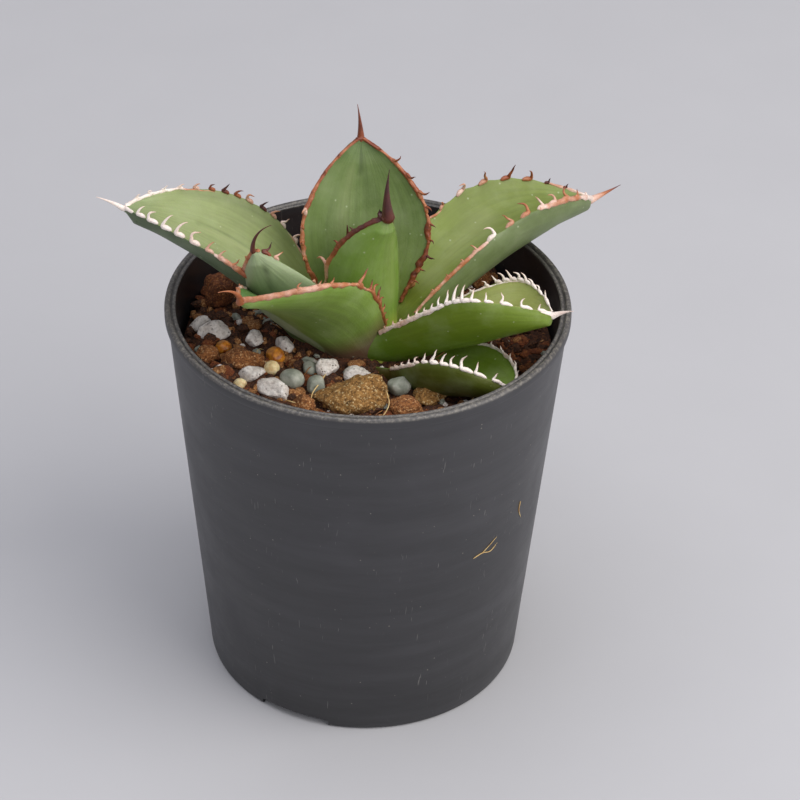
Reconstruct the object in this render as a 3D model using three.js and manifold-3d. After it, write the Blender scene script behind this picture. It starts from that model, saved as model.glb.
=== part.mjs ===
// A young toothed agave rosette in a round black nursery pot, filled with a stony mix.
// Millimetres, +Z up. The photographed side faces -Y.
import * as THREE from "three";
import { mergeVertices } from "three/addons/utils/BufferGeometryUtils.js";
import Module from "manifold-3d";

const wasm = await Module();
wasm.setup();
const { Manifold, Mesh: SolidMesh } = wasm;

// The pot's axis in plan: it stands off centre, because the rosette leans out to one side.
const POT_X = 0.46;
const POT_Y = 0;

// Pot
const POT_HEIGHT = 94.7;
const RIM_RADIUS = 45;
const FOOT_RADIUS = 36.5;
const WALL = 1.6;
const RIM_WIDTH = 2.5;
const RIM_DEPTH = 3.2;
const LIP_DROP = 2.4;
const LIP_PROUD = 0.45;
const BASE_RAISE = 2.4;
const BASE_THICKNESS = 1.6;
const FOOT_RING_WIDTH = 2.2;
const NOTCH_WIDTH = 17;
const NOTCH_HEIGHT = 2;
const NOTCH_HEADINGS = [245, 5, 125];
const DRAIN_RADIUS = 4;
const POT_SEGMENTS = 40;

// Soil, stem and clearances
const GAP = 0.3;
const SOIL_LEVEL = 85.6;
const STEM_RADIUS = 6;
const STEM_TOP = 90;
const STEM_BOTTOM = 58;
const STEM_AT = [-0.5, -1.2];

// How a leaf is cut into facets
const BLADE_STEPS = 10;
const BLADE_ACROSS = 6;
const BAND_STEPS = 8;

// Teeth this long or longer have a foot that runs along the margin
const FOOTED_TOOTH = 2.2;

// The leaves in the order in which they lie in front of one another. heading and bend turn the leaf
// about the pot's axis, rise is its slope at the foot and at the tip, curl is how far the blade closes
// into a gutter, roll tips it over sideways at the foot and twist adds to that towards the tip. flare is
// how far the teeth stand up out of the margin, tail is -1 where a tooth's foot lies on its side nearer
// the stem. Angles are degrees except curl, which is radians to each margin. Teeth are
// [place along, length, curl], where curl 1 bends the point back over the tooth's foot.
const LEAVES = [
  {
    name: "leaf_front_left",
    heading: 223, bend: -0.6, rise: [59, 18], length: 41.3, halfWidth: 13.2,
    widest: 0.53, footWidth: 0.62, fullness: 0.95, curl: 0.54, roll: 45.5, twist: -27.6,
    foot: [-3.2, -5.4, 87.3], thickness: 3.2,
    band: 1.5, flare: 35, tail: -1, spine: 10.5, spineLift: [50, -8],
    spineLean: [40, -6], spineRadius: 0.85,
    left: [[0.05, 1.6, 1], [0.1, 1.8, 0.6], [0.15, 2.3, -0.4], [0.21, 3, 0.9], [0.26, 3.2, -0.7],
      [0.33, 3.8, 0.8], [0.37, 2.6, -0.8], [0.48, 4.2, 0.5], [0.66, 2, 0.3], [0.72, 1.8, 0.6],
      [0.81, 2.8, 0.4]],
    right: [[0.2, 1.2, 1], [0.35, 1.4, 1], [0.5, 1.6, 1], [0.63, 1.8, 1], [0.75, 1.8, 1], [0.87, 2, 1]],
  },
  {
    name: "leaf_front_right",
    heading: -21.4, bend: 10.8, rise: [25, 20], length: 38, halfWidth: 15.1,
    widest: 0.67, footWidth: 0.56, fullness: 0.93, curl: 1, roll: -20.4, twist: -2.7,
    foot: [6.2, -3.2, 86.8], thickness: 4.5,
    band: 0.8, flare: 55, tail: 1, spine: 5.1, spineLift: [11, -4],
    spineLean: [0, -20], spineRadius: 0.8,
    left: [[0.1, 1, -1], [0.2, 1, -1], [0.3, 1.2, -1], [0.4, 1.4, -1], [0.5, 2, -1], [0.57, 3, -0.8],
      [0.62, 3.4, -1], [0.67, 3.2, -0.6], [0.72, 3.2, -1], [0.77, 2.8, -0.5], [0.82, 2.6, -1],
      [0.87, 2.4, -0.8], [0.93, 2.8, 0.6]],
    right: [[0.08, 1.2, 1], [0.14, 1.3, 0.4], [0.2, 1.4, 1], [0.26, 1.4, 0.5], [0.32, 1.6, 1],
      [0.38, 1.7, 0.3], [0.43, 2, 0.8], [0.48, 2.8, 0.4], [0.53, 4, 0.5], [0.58, 4.6, 0.8],
      [0.63, 4.6, 0.6], [0.68, 3.8, 0.9], [0.75, 2.8, 0.4], [0.82, 3.6, 0.2], [0.9, 3, 1.3],
      [0.96, 2.2, 1.2]],
  },
  {
    name: "leaf_low_right",
    heading: -30, bend: -11.4, rise: [12.6, 15], length: 29.4, halfWidth: 12.5,
    widest: 0.47, footWidth: 0.54, fullness: 0.88, curl: 0.81, roll: -10.6, twist: -14.1,
    foot: [8.3, -8.9, 83.4], thickness: 5,
    band: 0.8, flare: 55, tail: 1, spine: 3.4, spineLift: [60, 80],
    spineLean: [0, 0], spineRadius: 0.8,
    left: [[0.3, 1, 1], [0.4, 1.2, -0.6], [0.5, 1.6, 1], [0.6, 1.6, -0.6], [0.7, 1.8, 1],
      [0.8, 1.8, -0.5], [0.9, 2, 1]],
    right: [[0.1, 1, 0.5], [0.2, 1.3, 1], [0.29, 1.7, 0.4], [0.38, 2.4, 1], [0.46, 3, 0.5],
      [0.54, 3.6, 0.8], [0.62, 3.4, 1], [0.69, 3.2, 0.6], [0.76, 4.2, 0.7], [0.84, 3.4, 0.2],
      [0.93, 2.6, 1.3]],
  },
  {
    name: "leaf_left_inner",
    heading: 206, bend: 5, rise: [42.5, 67.5], length: 36.5, halfWidth: 10.5,
    widest: 0.41, footWidth: 0.5, fullness: 1.02, curl: 0.14, roll: 31, twist: 18.4,
    foot: [-6.1, -3.5, 86.7], thickness: 3.6,
    band: 1.1, flare: 40, tail: -1, spine: 8.9, spineLift: [16, 6],
    spineLean: [15, 80], spineRadius: 0.55,
    left: [[0.35, 1, 1], [0.5, 1, 1], [0.65, 1.2, 1], [0.78, 1.6, 1], [0.87, 3.2, 0.3], [0.92, 3.4, 0.6],
      [0.96, 4.2, 0]],
    right: [[0.35, 1, 1], [0.48, 1, 1], [0.6, 1.2, 1], [0.72, 1, 1], [0.83, 1.2, 1], [0.93, 1.6, 1]],
  },
  {
    name: "leaf_centre",
    heading: -40.4, bend: 3.2, rise: [108, 61], length: 33.4, halfWidth: 9.1,
    widest: 0.42, footWidth: 0.55, fullness: 0.97, curl: 0.92, roll: -20, twist: 0.1,
    foot: [1.2, -1.8, 87.2], thickness: 5.2,
    band: 1.7, flare: 25, tail: -1, spine: 12.3, spineLift: [26, 24],
    spineLean: [-19, -2], spineRadius: 1.5,
    left: [[0.45, 1, 1], [0.6, 1, 1], [0.75, 1.1, 1]],
    right: [[0.38, 1.6, 1], [0.52, 3.6, 0.5], [0.68, 1.8, 0.6], [0.81, 1.5, 0.3]],
  },
  {
    name: "leaf_left",
    heading: 180.9, bend: 9.3, rise: [63.4, 14], length: 57.2, halfWidth: 14.4,
    widest: 0.41, footWidth: 0.42, fullness: 0.98, curl: 0.48, roll: -4.6, twist: 0,
    foot: [-10, 2.9, 84.3], thickness: 6.3,
    band: 0.8, flare: 70, tail: -1, spine: 6.6, spineLift: [28, 8],
    spineLean: [3, -2], spineRadius: 0.65,
    left: [[0.46, 1.8, 0.6], [0.52, 2.2, 1], [0.58, 2.6, 0.5], [0.64, 3, 0.8], [0.69, 3.8, 0.6],
      [0.75, 4.8, 0.8], [0.81, 5.4, 1], [0.86, 4.8, 0.9], [0.91, 4.6, 1.1], [0.95, 3.6, 1.2]],
    right: [[0.22, 1.8, 0.6], [0.29, 2.6, 1], [0.36, 2.8, 0.4], [0.41, 3, 1], [0.46, 3.4, 0.3],
      [0.52, 3.4, 1.2], [0.57, 3.2, 1.1], [0.62, 3.4, 0.2], [0.67, 2.8, 0.5], [0.73, 2.6, 1.1],
      [0.79, 2.6, 1.2], [0.85, 2.8, 1], [0.9, 2.4, 1.2], [0.95, 2, 1]],
  },
  {
    name: "leaf_right",
    heading: 42.5, bend: -6.4, rise: [32, -11], length: 59.1, halfWidth: 13.6,
    widest: 0.53, footWidth: 0.52, fullness: 0.92, curl: 1.15, roll: -12, twist: 0,
    foot: [6.7, 2.7, 88.5], thickness: 4.9,
    band: 0.9, flare: 58, tail: -1, spine: 9, spineLift: [14, 20],
    spineLean: [0, -5], spineRadius: 0.95,
    left: [[0.2, 1.4, 1], [0.28, 1.8, 1], [0.36, 2.2, 0.5], [0.44, 2.4, 1], [0.54, 5, 1.4],
      [0.64, 5.4, 1], [0.73, 5.4, -0.5], [0.81, 4.2, 1.1], [0.87, 1.8, -0.4], [0.93, 1.5, -0.4]],
    right: [[0.13, 1, 1], [0.2, 1.2, 0.5], [0.27, 1.5, 1], [0.33, 2.2, 0.8], [0.41, 4.8, 1.3],
      [0.49, 4, 1.1], [0.56, 5.6, 1], [0.63, 3.4, 0.6], [0.69, 3.6, 1.3], [0.76, 4, -0.8],
      [0.83, 2.6, -0.6], [0.9, 1.6, 1]],
  },
  {
    name: "leaf_back",
    heading: 99.5, bend: -8, rise: [71.6, 72.7], length: 39.4, halfWidth: 15.1,
    widest: 0.46, footWidth: 0.54, fullness: 0.97, curl: 0.62, roll: 8.9, twist: 0.5,
    foot: [-1.1, 4.7, 89], thickness: 5.5,
    band: 1, flare: 25, tail: -1, spine: 7.8, spineLift: [22, 3],
    spineLean: [5, 11], spineRadius: 0.8,
    left: [[0.2, 1.6, 1], [0.28, 1.6, 0.4], [0.36, 1.4, 1], [0.45, 1.8, 0.6], [0.54, 1.8, 1],
      [0.63, 3.2, 0.4], [0.73, 1.8, 1], [0.83, 1.6, 0.5], [0.91, 1.2, 1]],
    right: [[0.16, 2, 1], [0.23, 2.2, 0.4], [0.31, 3.2, 0.3], [0.4, 2, 1], [0.5, 2.2, 0.6],
      [0.6, 2.6, 0.8], [0.69, 4, -0.4], [0.79, 4, 0.1], [0.87, 4, -1.4], [0.94, 1.6, 0.5]],
  },
];

// The closed cone of the next leaf in the heart of the rosette, behind the centre leaf
const BUD = { at: [-3.6, 3], height: 19, radius: 3, lean: [-0.05, 0.12], spine: 6 };

// Loose stones on the soil: [kind, x, y, length, width, height, turn in degrees]
const STONES = [
  ["pumice", -37.3, 3, 5.6, 4, 3.4, 10],
  ["pumice", -34, -0.6, 7, 4.6, 4, 25],
  ["pumice", -25.3, -3.2, 3.4, 5, 3.6, 15],
  ["pumice", -18.4, -4.6, 3.4, 4.6, 3.4, 30],
  ["pumice", -24.9, -16.4, 6, 4, 3.2, -8],
  ["pumice", -19.6, -22.4, 8, 5, 4, -38],
  ["pumice", -8.8, -14.2, 5.2, 5, 4.4, -40],
  ["pumice", -1.6, -15.9, 6, 4.6, 3.8, 8],
  ["amber_bead", -31.8, -6.6, 3.6, 3, 2.8, -35],
  ["amber_bead", -20.2, -9.2, 4, 3.8, 3.8, 20],
  ["cream_bead", -20.6, -15.4, 3, 3, 3, 0],
  ["cream_bead", -27.3, -19.2, 2.6, 2.6, 2.4, 0],
  ["brown_lump", -26.8, -11, 8.6, 6.6, 5, -12],
  ["brown_lump", -35.4, -9.6, 5.4, 5, 4.2, 30],
  ["brown_lump", -13.6, -27, 5.4, 5, 4, 15],
  ["gold_lump", -2.2, -23.6, 13.6, 9.6, 8, 8],
  ["brown_lump", 8.4, -27.6, 8.6, 6.4, 4.6, -6],
  ["gold_lump", 13.6, -21.6, 6.8, 6.6, 6, 20],
  ["dark_lump", -34, 12.6, 8, 7.6, 9.5, 20],
  ["dark_lump", 29, -8.6, 5, 4.4, 3.4, 40],
  ["dark_lump", 35.5, -9, 5.4, 4, 3.4, 80],
  ["brown_lump", 25.5, 25.5, 6, 5, 4, 45],
  ["brown_lump", -17, 30, 7, 5.4, 4.4, 130],
  ["pumice", 6, 34.5, 6, 4.6, 3.8, 170],
  ["pumice", 34.5, 13.5, 5.4, 4.4, 3.6, 70],
  ["grey_pebble", -16, -19.2, 4.8, 4, 3.6, -20],
  ["grey_pebble", -10.6, -20.6, 4, 4.4, 3.8, 10],
  ["grey_pebble", -12.2, -14, 3.6, 3.4, 3, 0],
  ["grey_pebble", 7.2, -20.2, 4.8, 4, 3.8, 20],
];

const COLOURS = {
  pot: [0x26262a, 0.5],
  soil: [0x4a2f22, 0.95],
  stem: [0x8a9a62, 0.7],
  blade: [0x6f8f5c, 0.55],
  brown_horn: [0x9a5a3c, 0.5],
  pale_horn: [0xe6d8cb, 0.55],
  dark_horn: [0x5b2f2c, 0.45],
  pumice: [0xd9d2cb, 0.9],
  amber_bead: [0xc9832b, 0.4],
  cream_bead: [0xe2cf9e, 0.6],
  brown_lump: [0x9a6538, 0.95],
  gold_lump: [0xa07a3e, 0.95],
  dark_lump: [0x5a3422, 0.95],
  grey_pebble: [0x969a8e, 0.7],
};
const HORN_COLOUR = {
  leaf_front_left: "brown_horn",
  leaf_front_right: "pale_horn",
  leaf_low_right: "pale_horn",
  leaf_left_inner: "brown_horn",
  leaf_centre: "dark_horn",
  leaf_left: "pale_horn",
  leaf_right: "brown_horn",
  leaf_back: "brown_horn",
};

const radians = THREE.MathUtils.degToRad;
const mix = THREE.MathUtils.lerp;
const clamp = THREE.MathUtils.clamp;

// Repeatable draw between 0 and 1
function seeded(seed) {
  let state = seed >>> 0;
  return () => {
    state = (state * 1664525 + 1013904223) >>> 0;
    return state / 4294967296;
  };
}

// Closed solid from points and triangles, turned face out if it comes out inside out
function closedSolid(points, triangles) {
  let volume = 0;
  for (const [a, b, c] of triangles) {
    volume += points[a].dot(new THREE.Vector3().crossVectors(points[b], points[c]));
  }
  const flat = points.flatMap((p) => [p.x, p.y, p.z]);
  const corners = triangles.flatMap(([a, b, c]) => (volume < 0 ? [a, c, b] : [a, b, c]));
  const mesh = new SolidMesh({
    numProp: 3,
    vertProperties: new Float32Array(flat),
    triVerts: new Uint32Array(corners),
  });
  mesh.merge();
  return new Manifold(mesh);
}

// Skin stretched over a row of rings with like numbers of points, with both ends closed by strips
function loftedSolid(rings) {
  const count = rings[0].length;
  const triangles = [];
  for (let i = 0; i + 1 < rings.length; i += 1) {
    for (let j = 0; j < count; j += 1) {
      const k = (j + 1) % count;
      const [a, b, c, d] = [i * count + j, i * count + k, (i + 1) * count + k, (i + 1) * count + j];
      triangles.push([a, b, c], [a, c, d]);
    }
  }
  const last = (rings.length - 1) * count;
  for (let j = 0; j + 1 < count / 2; j += 1) {
    const m = count - 1 - j;
    triangles.push([j, m, m - 1], [j, m - 1, j + 1]);
    triangles.push([last + j, last + m - 1, last + m], [last + j, last + j + 1, last + m - 1]);
  }
  return closedSolid(rings.flat(), triangles.filter(([a, b, c]) => a !== b && b !== c && a !== c));
}

// Tapering rod with flat sides along a path of points, with a radius at each
function rod(path, radii, sides, across) {
  const rings = path.map((p, i) => {
    const ahead = path[Math.min(i + 1, path.length - 1)];
    const behind = path[Math.max(i - 1, 0)];
    const along = ahead.clone().sub(behind).normalize();
    const first = across.clone().addScaledVector(along, -across.dot(along)).normalize();
    const second = new THREE.Vector3().crossVectors(along, first);
    return Array.from({ length: sides }, (_, j) => {
      const angle = ((j + 0.5) / sides) * Math.PI * 2;
      return p
        .clone()
        .addScaledVector(first, Math.cos(angle) * radii[i][0])
        .addScaledVector(second, Math.sin(angle) * radii[i][1]);
    });
  });
  return loftedSolid(rings);
}

// Direction along the leaf, to its left and up out of its face, at a place along it
function leafDirections(leaf, place) {
  const t = clamp(place, 0, 1);
  const heading = radians(leaf.heading + leaf.bend * t);
  const rise = radians(mix(leaf.rise[0], leaf.rise[1], t));
  const along = new THREE.Vector3(
    Math.cos(heading) * Math.cos(rise),
    Math.sin(heading) * Math.cos(rise),
    Math.sin(rise),
  );
  const level = new THREE.Vector3(-Math.sin(heading), Math.cos(heading), 0);
  const out = new THREE.Vector3().crossVectors(along, level);
  const tip = radians(leaf.roll + leaf.twist * t);
  return {
    along,
    left: level.clone().multiplyScalar(Math.cos(tip)).addScaledVector(out, Math.sin(tip)),
    up: out.clone().multiplyScalar(Math.cos(tip)).addScaledVector(level, -Math.sin(tip)),
  };
}

// Point on the leaf's midrib, stepped along from the foot
function midrib(leaf, place) {
  const steps = 40;
  const point = new THREE.Vector3(...leaf.foot);
  if (place < 0) return point.addScaledVector(leafDirections(leaf, 0).along, place * leaf.length);
  const reach = Math.min(place, 1);
  for (let i = 0; i < steps; i += 1) {
    const t = ((i + 0.5) / steps) * reach;
    point.addScaledVector(leafDirections(leaf, t).along, (reach / steps) * leaf.length);
  }
  if (place > 1) point.addScaledVector(leafDirections(leaf, 1).along, (place - 1) * leaf.length);
  return point;
}

// Half the blade's width, measured round its curl
function halfWidth(leaf, place) {
  const t = clamp(place, 0, 1);
  if (t < leaf.widest) {
    const swell = Math.sin(((Math.PI / 2) * t) / leaf.widest) ** 1.3;
    return leaf.halfWidth * mix(leaf.footWidth, 1, swell);
  }
  const u = (t - leaf.widest) / (1 - leaf.widest);
  return leaf.halfWidth * (1 - u * u) ** leaf.fullness;
}

// How thick the fleshy blade is, from the midrib at 0 to the margins at -1 and 1
function bladeThickness(leaf, place, side) {
  const t = clamp(place, 0, 1);
  return leaf.thickness * (1 - 0.62 * t ** 1.2) * (1 - Math.abs(side) ** 2.4) * 0.92 + 0.9;
}

// Point on the leaf's upper face: place along it, distance across to the left, height above the face
function onLeaf(leaf, place, across, height) {
  const { left, up } = leafDirections(leaf, place);
  const width = Math.max(halfWidth(leaf, place), 0.4);
  const curl = leaf.curl * (0.75 + 0.25 * Math.sin(Math.PI * clamp(place, 0, 1)));
  const radius = width / curl;
  const angle = across / radius;
  return midrib(leaf, place)
    .addScaledVector(left, radius * Math.sin(angle) - height * Math.sin(angle))
    .addScaledVector(up, radius * (1 - Math.cos(angle)) + height * Math.cos(angle));
}

// Where the green blade stops short of its horny tip
function bladeEnd(leaf) {
  const left = (leaf.band + GAP + 0.7) / leaf.halfWidth;
  return leaf.widest + (1 - leaf.widest) * Math.sqrt(1 - left ** (1 / leaf.fullness));
}

// The green blade, sunk a little way into the stem, or the same grown on every side by a clearance
function bladeSolid(leaf, grow = 0) {
  const start = -7 / leaf.length - grow / leaf.length;
  const end = bladeEnd(leaf) + grow / leaf.length;
  const rings = [];
  for (let i = 0; i <= BLADE_STEPS; i += 1) {
    const t = i === 0 ? start : mix(0, end, (i - 1) / (BLADE_STEPS - 1));
    const width = halfWidth(leaf, t);
    const reach = Math.max(width - leaf.band - GAP, 0.3) + grow;
    const upper = [];
    const lower = [];
    for (let j = 0; j <= BLADE_ACROSS; j += 1) {
      const side = 1 - (2 * j) / BLADE_ACROSS;
      const across = side * reach;
      const thick = bladeThickness(leaf, t, Math.min(Math.abs(across) / width, 1));
      upper.push(onLeaf(leaf, t, across, grow));
      lower.push(onLeaf(leaf, t, across, -thick - grow));
    }
    rings.push([...upper, ...lower.reverse()]);
  }
  return loftedSolid(rings);
}

// The horny band along one margin, from low on the blade up into the spine
function bandSolid(leaf, side, grow = 0) {
  const start = 0.04 - grow / leaf.length;
  const end = Math.min(bladeEnd(leaf) + 0.9 / leaf.length, 0.992);
  const rings = [];
  for (let i = 0; i <= BAND_STEPS; i += 1) {
    const t = mix(start, end, i / BAND_STEPS);
    const width = halfWidth(leaf, t);
    const inner = Math.max(width - leaf.band, 0.2);
    const thickInner = bladeThickness(leaf, t, inner / width);
    rings.push([
      onLeaf(leaf, t, side * (inner - grow), 0.15 + grow),
      onLeaf(leaf, t, side * (width + 0.2 + grow), 0.15 + grow * 0.5),
      onLeaf(leaf, t, side * (width + 0.2 + grow), -0.8 - grow * 0.5),
      onLeaf(leaf, t, side * (inner - grow), -thickInner - 0.1 - grow),
    ]);
  }
  return loftedSolid(rings);
}

// One hooked tooth: its foot lies along the margin, and from there its hook stands up and curls over
function toothSolid(leaf, side, [place, length, curl], grow = 0) {
  const { along } = leafDirections(leaf, place);
  const width = halfWidth(leaf, place);
  const edge = onLeaf(leaf, place, side * width, -0.35);
  const out = edge.clone().sub(onLeaf(leaf, place, side * (width - 0.5), -0.35)).normalize();
  const up = edge.clone().sub(onLeaf(leaf, place, side * width, -1.35));
  const flare = radians(leaf.flare);
  const rise = out.clone().multiplyScalar(Math.cos(flare)).addScaledVector(up, Math.sin(flare));
  const back = along.clone().multiplyScalar(leaf.tail);
  const toePlace = place + (leaf.tail * clamp(length * 0.45, 0.9, 2)) / leaf.length;
  const toe = onLeaf(leaf, toePlace, side * (halfWidth(leaf, toePlace) - 0.3), -0.4);
  const point = edge.clone().addScaledVector(rise, 0.1);
  const footed = length >= FOOTED_TOOTH;
  const path = footed ? [toe, point.clone()] : [edge.clone().addScaledVector(out, -0.3)];
  for (const share of [0.25, 0.75]) {
    const angle = radians(90 + curl * (20 - 85 * share));
    point.addScaledVector(rise, Math.sin(angle) * length * 0.36);
    point.addScaledVector(back, Math.cos(angle) * length * 0.36);
    path.push(point.clone());
  }
  const size = clamp(0.26 + length * 0.07, 0.36, 0.62);
  const shares = footed ? [0.7, 1, 0.65, 0.15] : [1.1, 0.7, 0.15];
  const radii = shares.map((share) => [share * size + grow, share * size + grow]);
  return rod(path, radii, 3, out);
}

// The spine that ends the leaf, swelling out of the two bands
function spineSolid(leaf, grow = 0) {
  const start = bladeEnd(leaf) + GAP / leaf.length - grow / leaf.length;
  const path = [];
  const radii = [];
  for (const share of [0, 0.5, 1]) {
    const t = mix(start, 1, share);
    const { up } = leafDirections(leaf, t);
    const thick = bladeThickness(leaf, t, 0);
    path.push(midrib(leaf, t).addScaledVector(up, -mix(thick / 2, 0.8, share)));
    const swell = mix(Math.max(halfWidth(leaf, start) + 0.3, leaf.spineRadius), leaf.spineRadius, share);
    radii.push([swell + grow, mix(thick / 2 + 0.2, leaf.spineRadius, share) + grow]);
  }
  const { along, up, left } = leafDirections(leaf, 1);
  const point = path[2].clone();
  const steps = 5;
  for (let i = 1; i <= steps; i += 1) {
    const share = (i - 0.5) / steps;
    const lift = radians(mix(leaf.spineLift[0], leaf.spineLift[1], share));
    const lean = radians(mix(leaf.spineLean[0], leaf.spineLean[1], share));
    point.addScaledVector(along, (Math.cos(lift) * Math.cos(lean) * leaf.spine) / steps);
    point.addScaledVector(up, (Math.sin(lift) * Math.cos(lean) * leaf.spine) / steps);
    point.addScaledVector(left, (Math.sin(lean) * leaf.spine) / steps);
    path.push(point.clone());
    const taper = leaf.spineRadius * (1 - i / steps) ** 1.25 * 0.8 + 0.06 + grow;
    radii.push([taper, taper]);
  }
  return rod(path, radii, 6, left);
}

// All the horn of one leaf, fused into one body
function hornSolid(leaf, grow = 0) {
  const pieces = [bandSolid(leaf, 1, grow), bandSolid(leaf, -1, grow), spineSolid(leaf, grow)];
  for (const tooth of leaf.left) pieces.push(toothSolid(leaf, 1, tooth, grow));
  for (const tooth of leaf.right) pieces.push(toothSolid(leaf, -1, tooth, grow));
  return Manifold.union(pieces);
}

// The largest of the pieces that a cut leaves
function largest(solid) {
  const pieces = solid.decompose();
  return pieces.reduce((a, b) => (b.volume() > a.volume() ? b : a));
}

// Body turned round the pot's axis from a closed outline of [radius, height]
function turned(outline, segments) {
  const profile = outline.map(([r, z]) => new THREE.Vector2(r, z));
  const geometry = new THREE.LatheGeometry(profile, segments);
  geometry.rotateX(Math.PI / 2);
  return solidOfGeometry(geometry);
}

// Manifold solid of a closed three.js geometry
function solidOfGeometry(geometry) {
  const merged = mergeVertices(bareGeometry(geometry), 1e-4);
  const at = merged.getAttribute("position");
  const points = Array.from({ length: at.count }, (_, i) => new THREE.Vector3().fromBufferAttribute(at, i));
  const triangles = [];
  for (let i = 0; i < merged.index.count; i += 3) {
    const corner = [merged.index.getX(i), merged.index.getX(i + 1), merged.index.getX(i + 2)];
    if (new Set(corner).size === 3) triangles.push(corner);
  }
  return closedSolid(points, triangles);
}

// Radius of the pot's outside and inside walls at a height
const outerRadius = (z) => mix(FOOT_RADIUS, RIM_RADIUS - LIP_PROUD, z / POT_HEIGHT);
const innerRadius = (z) => outerRadius(z) - WALL;

// Plain round pot with a ridged rim, a raised base on a notched foot ring, and drain holes
function potSolid() {
  const top = POT_HEIGHT;
  const rimInner = RIM_RADIUS - RIM_WIDTH;
  const floor = BASE_RAISE + BASE_THICKNESS;
  const outline = [
    [0, BASE_RAISE],
    [FOOT_RADIUS - FOOT_RING_WIDTH - 0.6, BASE_RAISE],
    [FOOT_RADIUS - FOOT_RING_WIDTH, 0],
    [FOOT_RADIUS - 0.7, 0],
    [outerRadius(0.8), 0.8],
    [outerRadius(top - LIP_DROP), top - LIP_DROP],
    [RIM_RADIUS, top - LIP_DROP + 0.3],
    [RIM_RADIUS, top - 0.5],
    [RIM_RADIUS - 0.5, top],
    [RIM_RADIUS - 1.2, top],
    [RIM_RADIUS - 1.5, top - 0.4],
    [rimInner, top - 0.2],
    [rimInner, top - RIM_DEPTH],
    [innerRadius(top - RIM_DEPTH - 1), top - RIM_DEPTH - 1],
    [innerRadius(floor), floor],
    [0, floor],
  ];
  let pot = turned(outline, POT_SEGMENTS);
  for (const heading of NOTCH_HEADINGS) {
    const block = solidOfGeometry(new THREE.BoxGeometry(12, NOTCH_WIDTH, 2 * NOTCH_HEIGHT));
    pot = pot.subtract(block.translate([FOOT_RADIUS, 0, 0]).rotate([0, 0, heading]));
  }
  const holes = [[0, 0]];
  for (const heading of [35, 155, 275]) {
    holes.push([20 * Math.cos(radians(heading)), 20 * Math.sin(radians(heading))]);
  }
  const drill = new THREE.CylinderGeometry(DRAIN_RADIUS, DRAIN_RADIUS, 12, 20).rotateX(Math.PI / 2);
  for (const [x, y] of holes) pot = pot.subtract(solidOfGeometry(drill).translate([x, y, 0]));
  return pot;
}

// Height of the crumbly soil at a place, with lumps the size of its grains
function soilHeight(x, y) {
  const random = seeded(11);
  let lumps = 0;
  for (let i = 0; i < 150; i += 1) {
    const far = 42 * Math.sqrt(random());
    const angle = random() * Math.PI * 2;
    const [cx, cy] = [far * Math.cos(angle), far * Math.sin(angle)];
    const size = mix(2.6, 4.6, random());
    const tall = mix(0.5, 1.7, random());
    const near = 1 - ((x - cx) ** 2 + (y - cy) ** 2) / size ** 2;
    if (near > 0) lumps = Math.max(lumps, tall * Math.sqrt(near));
  }
  return SOIL_LEVEL - 1.2 + lumps - 0.0009 * (x * x + y * y) - 0.03 * x;
}

// The soil that fills the pot, from the base up to its crumbly top
function soilSolid() {
  const [rings, spokes] = [8, 32];
  const bottom = BASE_RAISE + BASE_THICKNESS + GAP;
  const edgeLevel = SOIL_LEVEL - 2.4;
  const edge = innerRadius(edgeLevel) - GAP;
  const points = [new THREE.Vector3(0, 0, soilHeight(0, 0))];
  for (let i = 1; i <= rings; i += 1) {
    for (let j = 0; j < spokes; j += 1) {
      const angle = ((j + (i % 2) * 0.5) / spokes) * Math.PI * 2;
      const far = (edge * i) / rings;
      const [x, y] = [far * Math.cos(angle), far * Math.sin(angle)];
      points.push(new THREE.Vector3(x, y, i === rings ? edgeLevel : soilHeight(x, y)));
    }
  }
  const low = innerRadius(bottom) - GAP;
  for (let j = 0; j < spokes; j += 1) {
    const angle = ((j + (rings % 2) * 0.5) / spokes) * Math.PI * 2;
    points.push(new THREE.Vector3(low * Math.cos(angle), low * Math.sin(angle), bottom));
  }
  points.push(new THREE.Vector3(0, 0, bottom));
  const at = (i, j) => 1 + (i - 1) * spokes + (j % spokes);
  const triangles = [];
  for (let j = 0; j < spokes; j += 1) {
    triangles.push([0, at(1, j), at(1, j + 1)]);
    for (let i = 1; i < rings; i += 1) {
      const [a, b, c, d] = [at(i, j), at(i, j + 1), at(i + 1, j + 1), at(i + 1, j)];
      triangles.push([a, d, c], [a, c, b]);
    }
    const [a, b, c, d] = [at(rings, j), at(rings, j + 1), at(rings + 1, j + 1), at(rings + 1, j)];
    triangles.push([a, d, c], [a, c, b]);
    triangles.push([points.length - 1, c, d]);
  }
  return closedSolid(points, triangles);
}

// Rough stone: a ball of flat faces, pushed in and out and stretched, sitting half in the soil
function stoneSolid([kind, x, y, length, width, height, turn], seed, grow = 0) {
  const random = seeded(seed * 977 + 5);
  const rough = kind.endsWith("bead") ? 0.03 : kind === "grey_pebble" ? 0.07 : 0.14;
  const geometry = new THREE.SphereGeometry(1, 7, 4);
  const merged = mergeVertices(bareGeometry(geometry), 1e-4);
  const at = merged.getAttribute("position");
  const dents = Array.from({ length: 9 }, () =>
    new THREE.Vector3(random() - 0.5, random() - 0.5, random() - 0.5).normalize(),
  );
  for (let i = 0; i < at.count; i += 1) {
    const p = new THREE.Vector3().fromBufferAttribute(at, i);
    const push = dents.reduce((sum, d, k) => sum + (k % 2 ? 1 : -1) * Math.max(0, p.dot(d)) ** 3, 0);
    p.multiplyScalar(1 + rough * clamp(push, -1.2, 1.2));
    at.setXYZ(i, p.x * (length / 2 + grow), p.y * (width / 2 + grow), p.z * (height / 2 + grow));
  }
  merged.rotateZ(radians(turn));
  merged.translate(x, y, soilHeight(x, y) + height * 0.22);
  return solidOfGeometry(merged);
}

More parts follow.
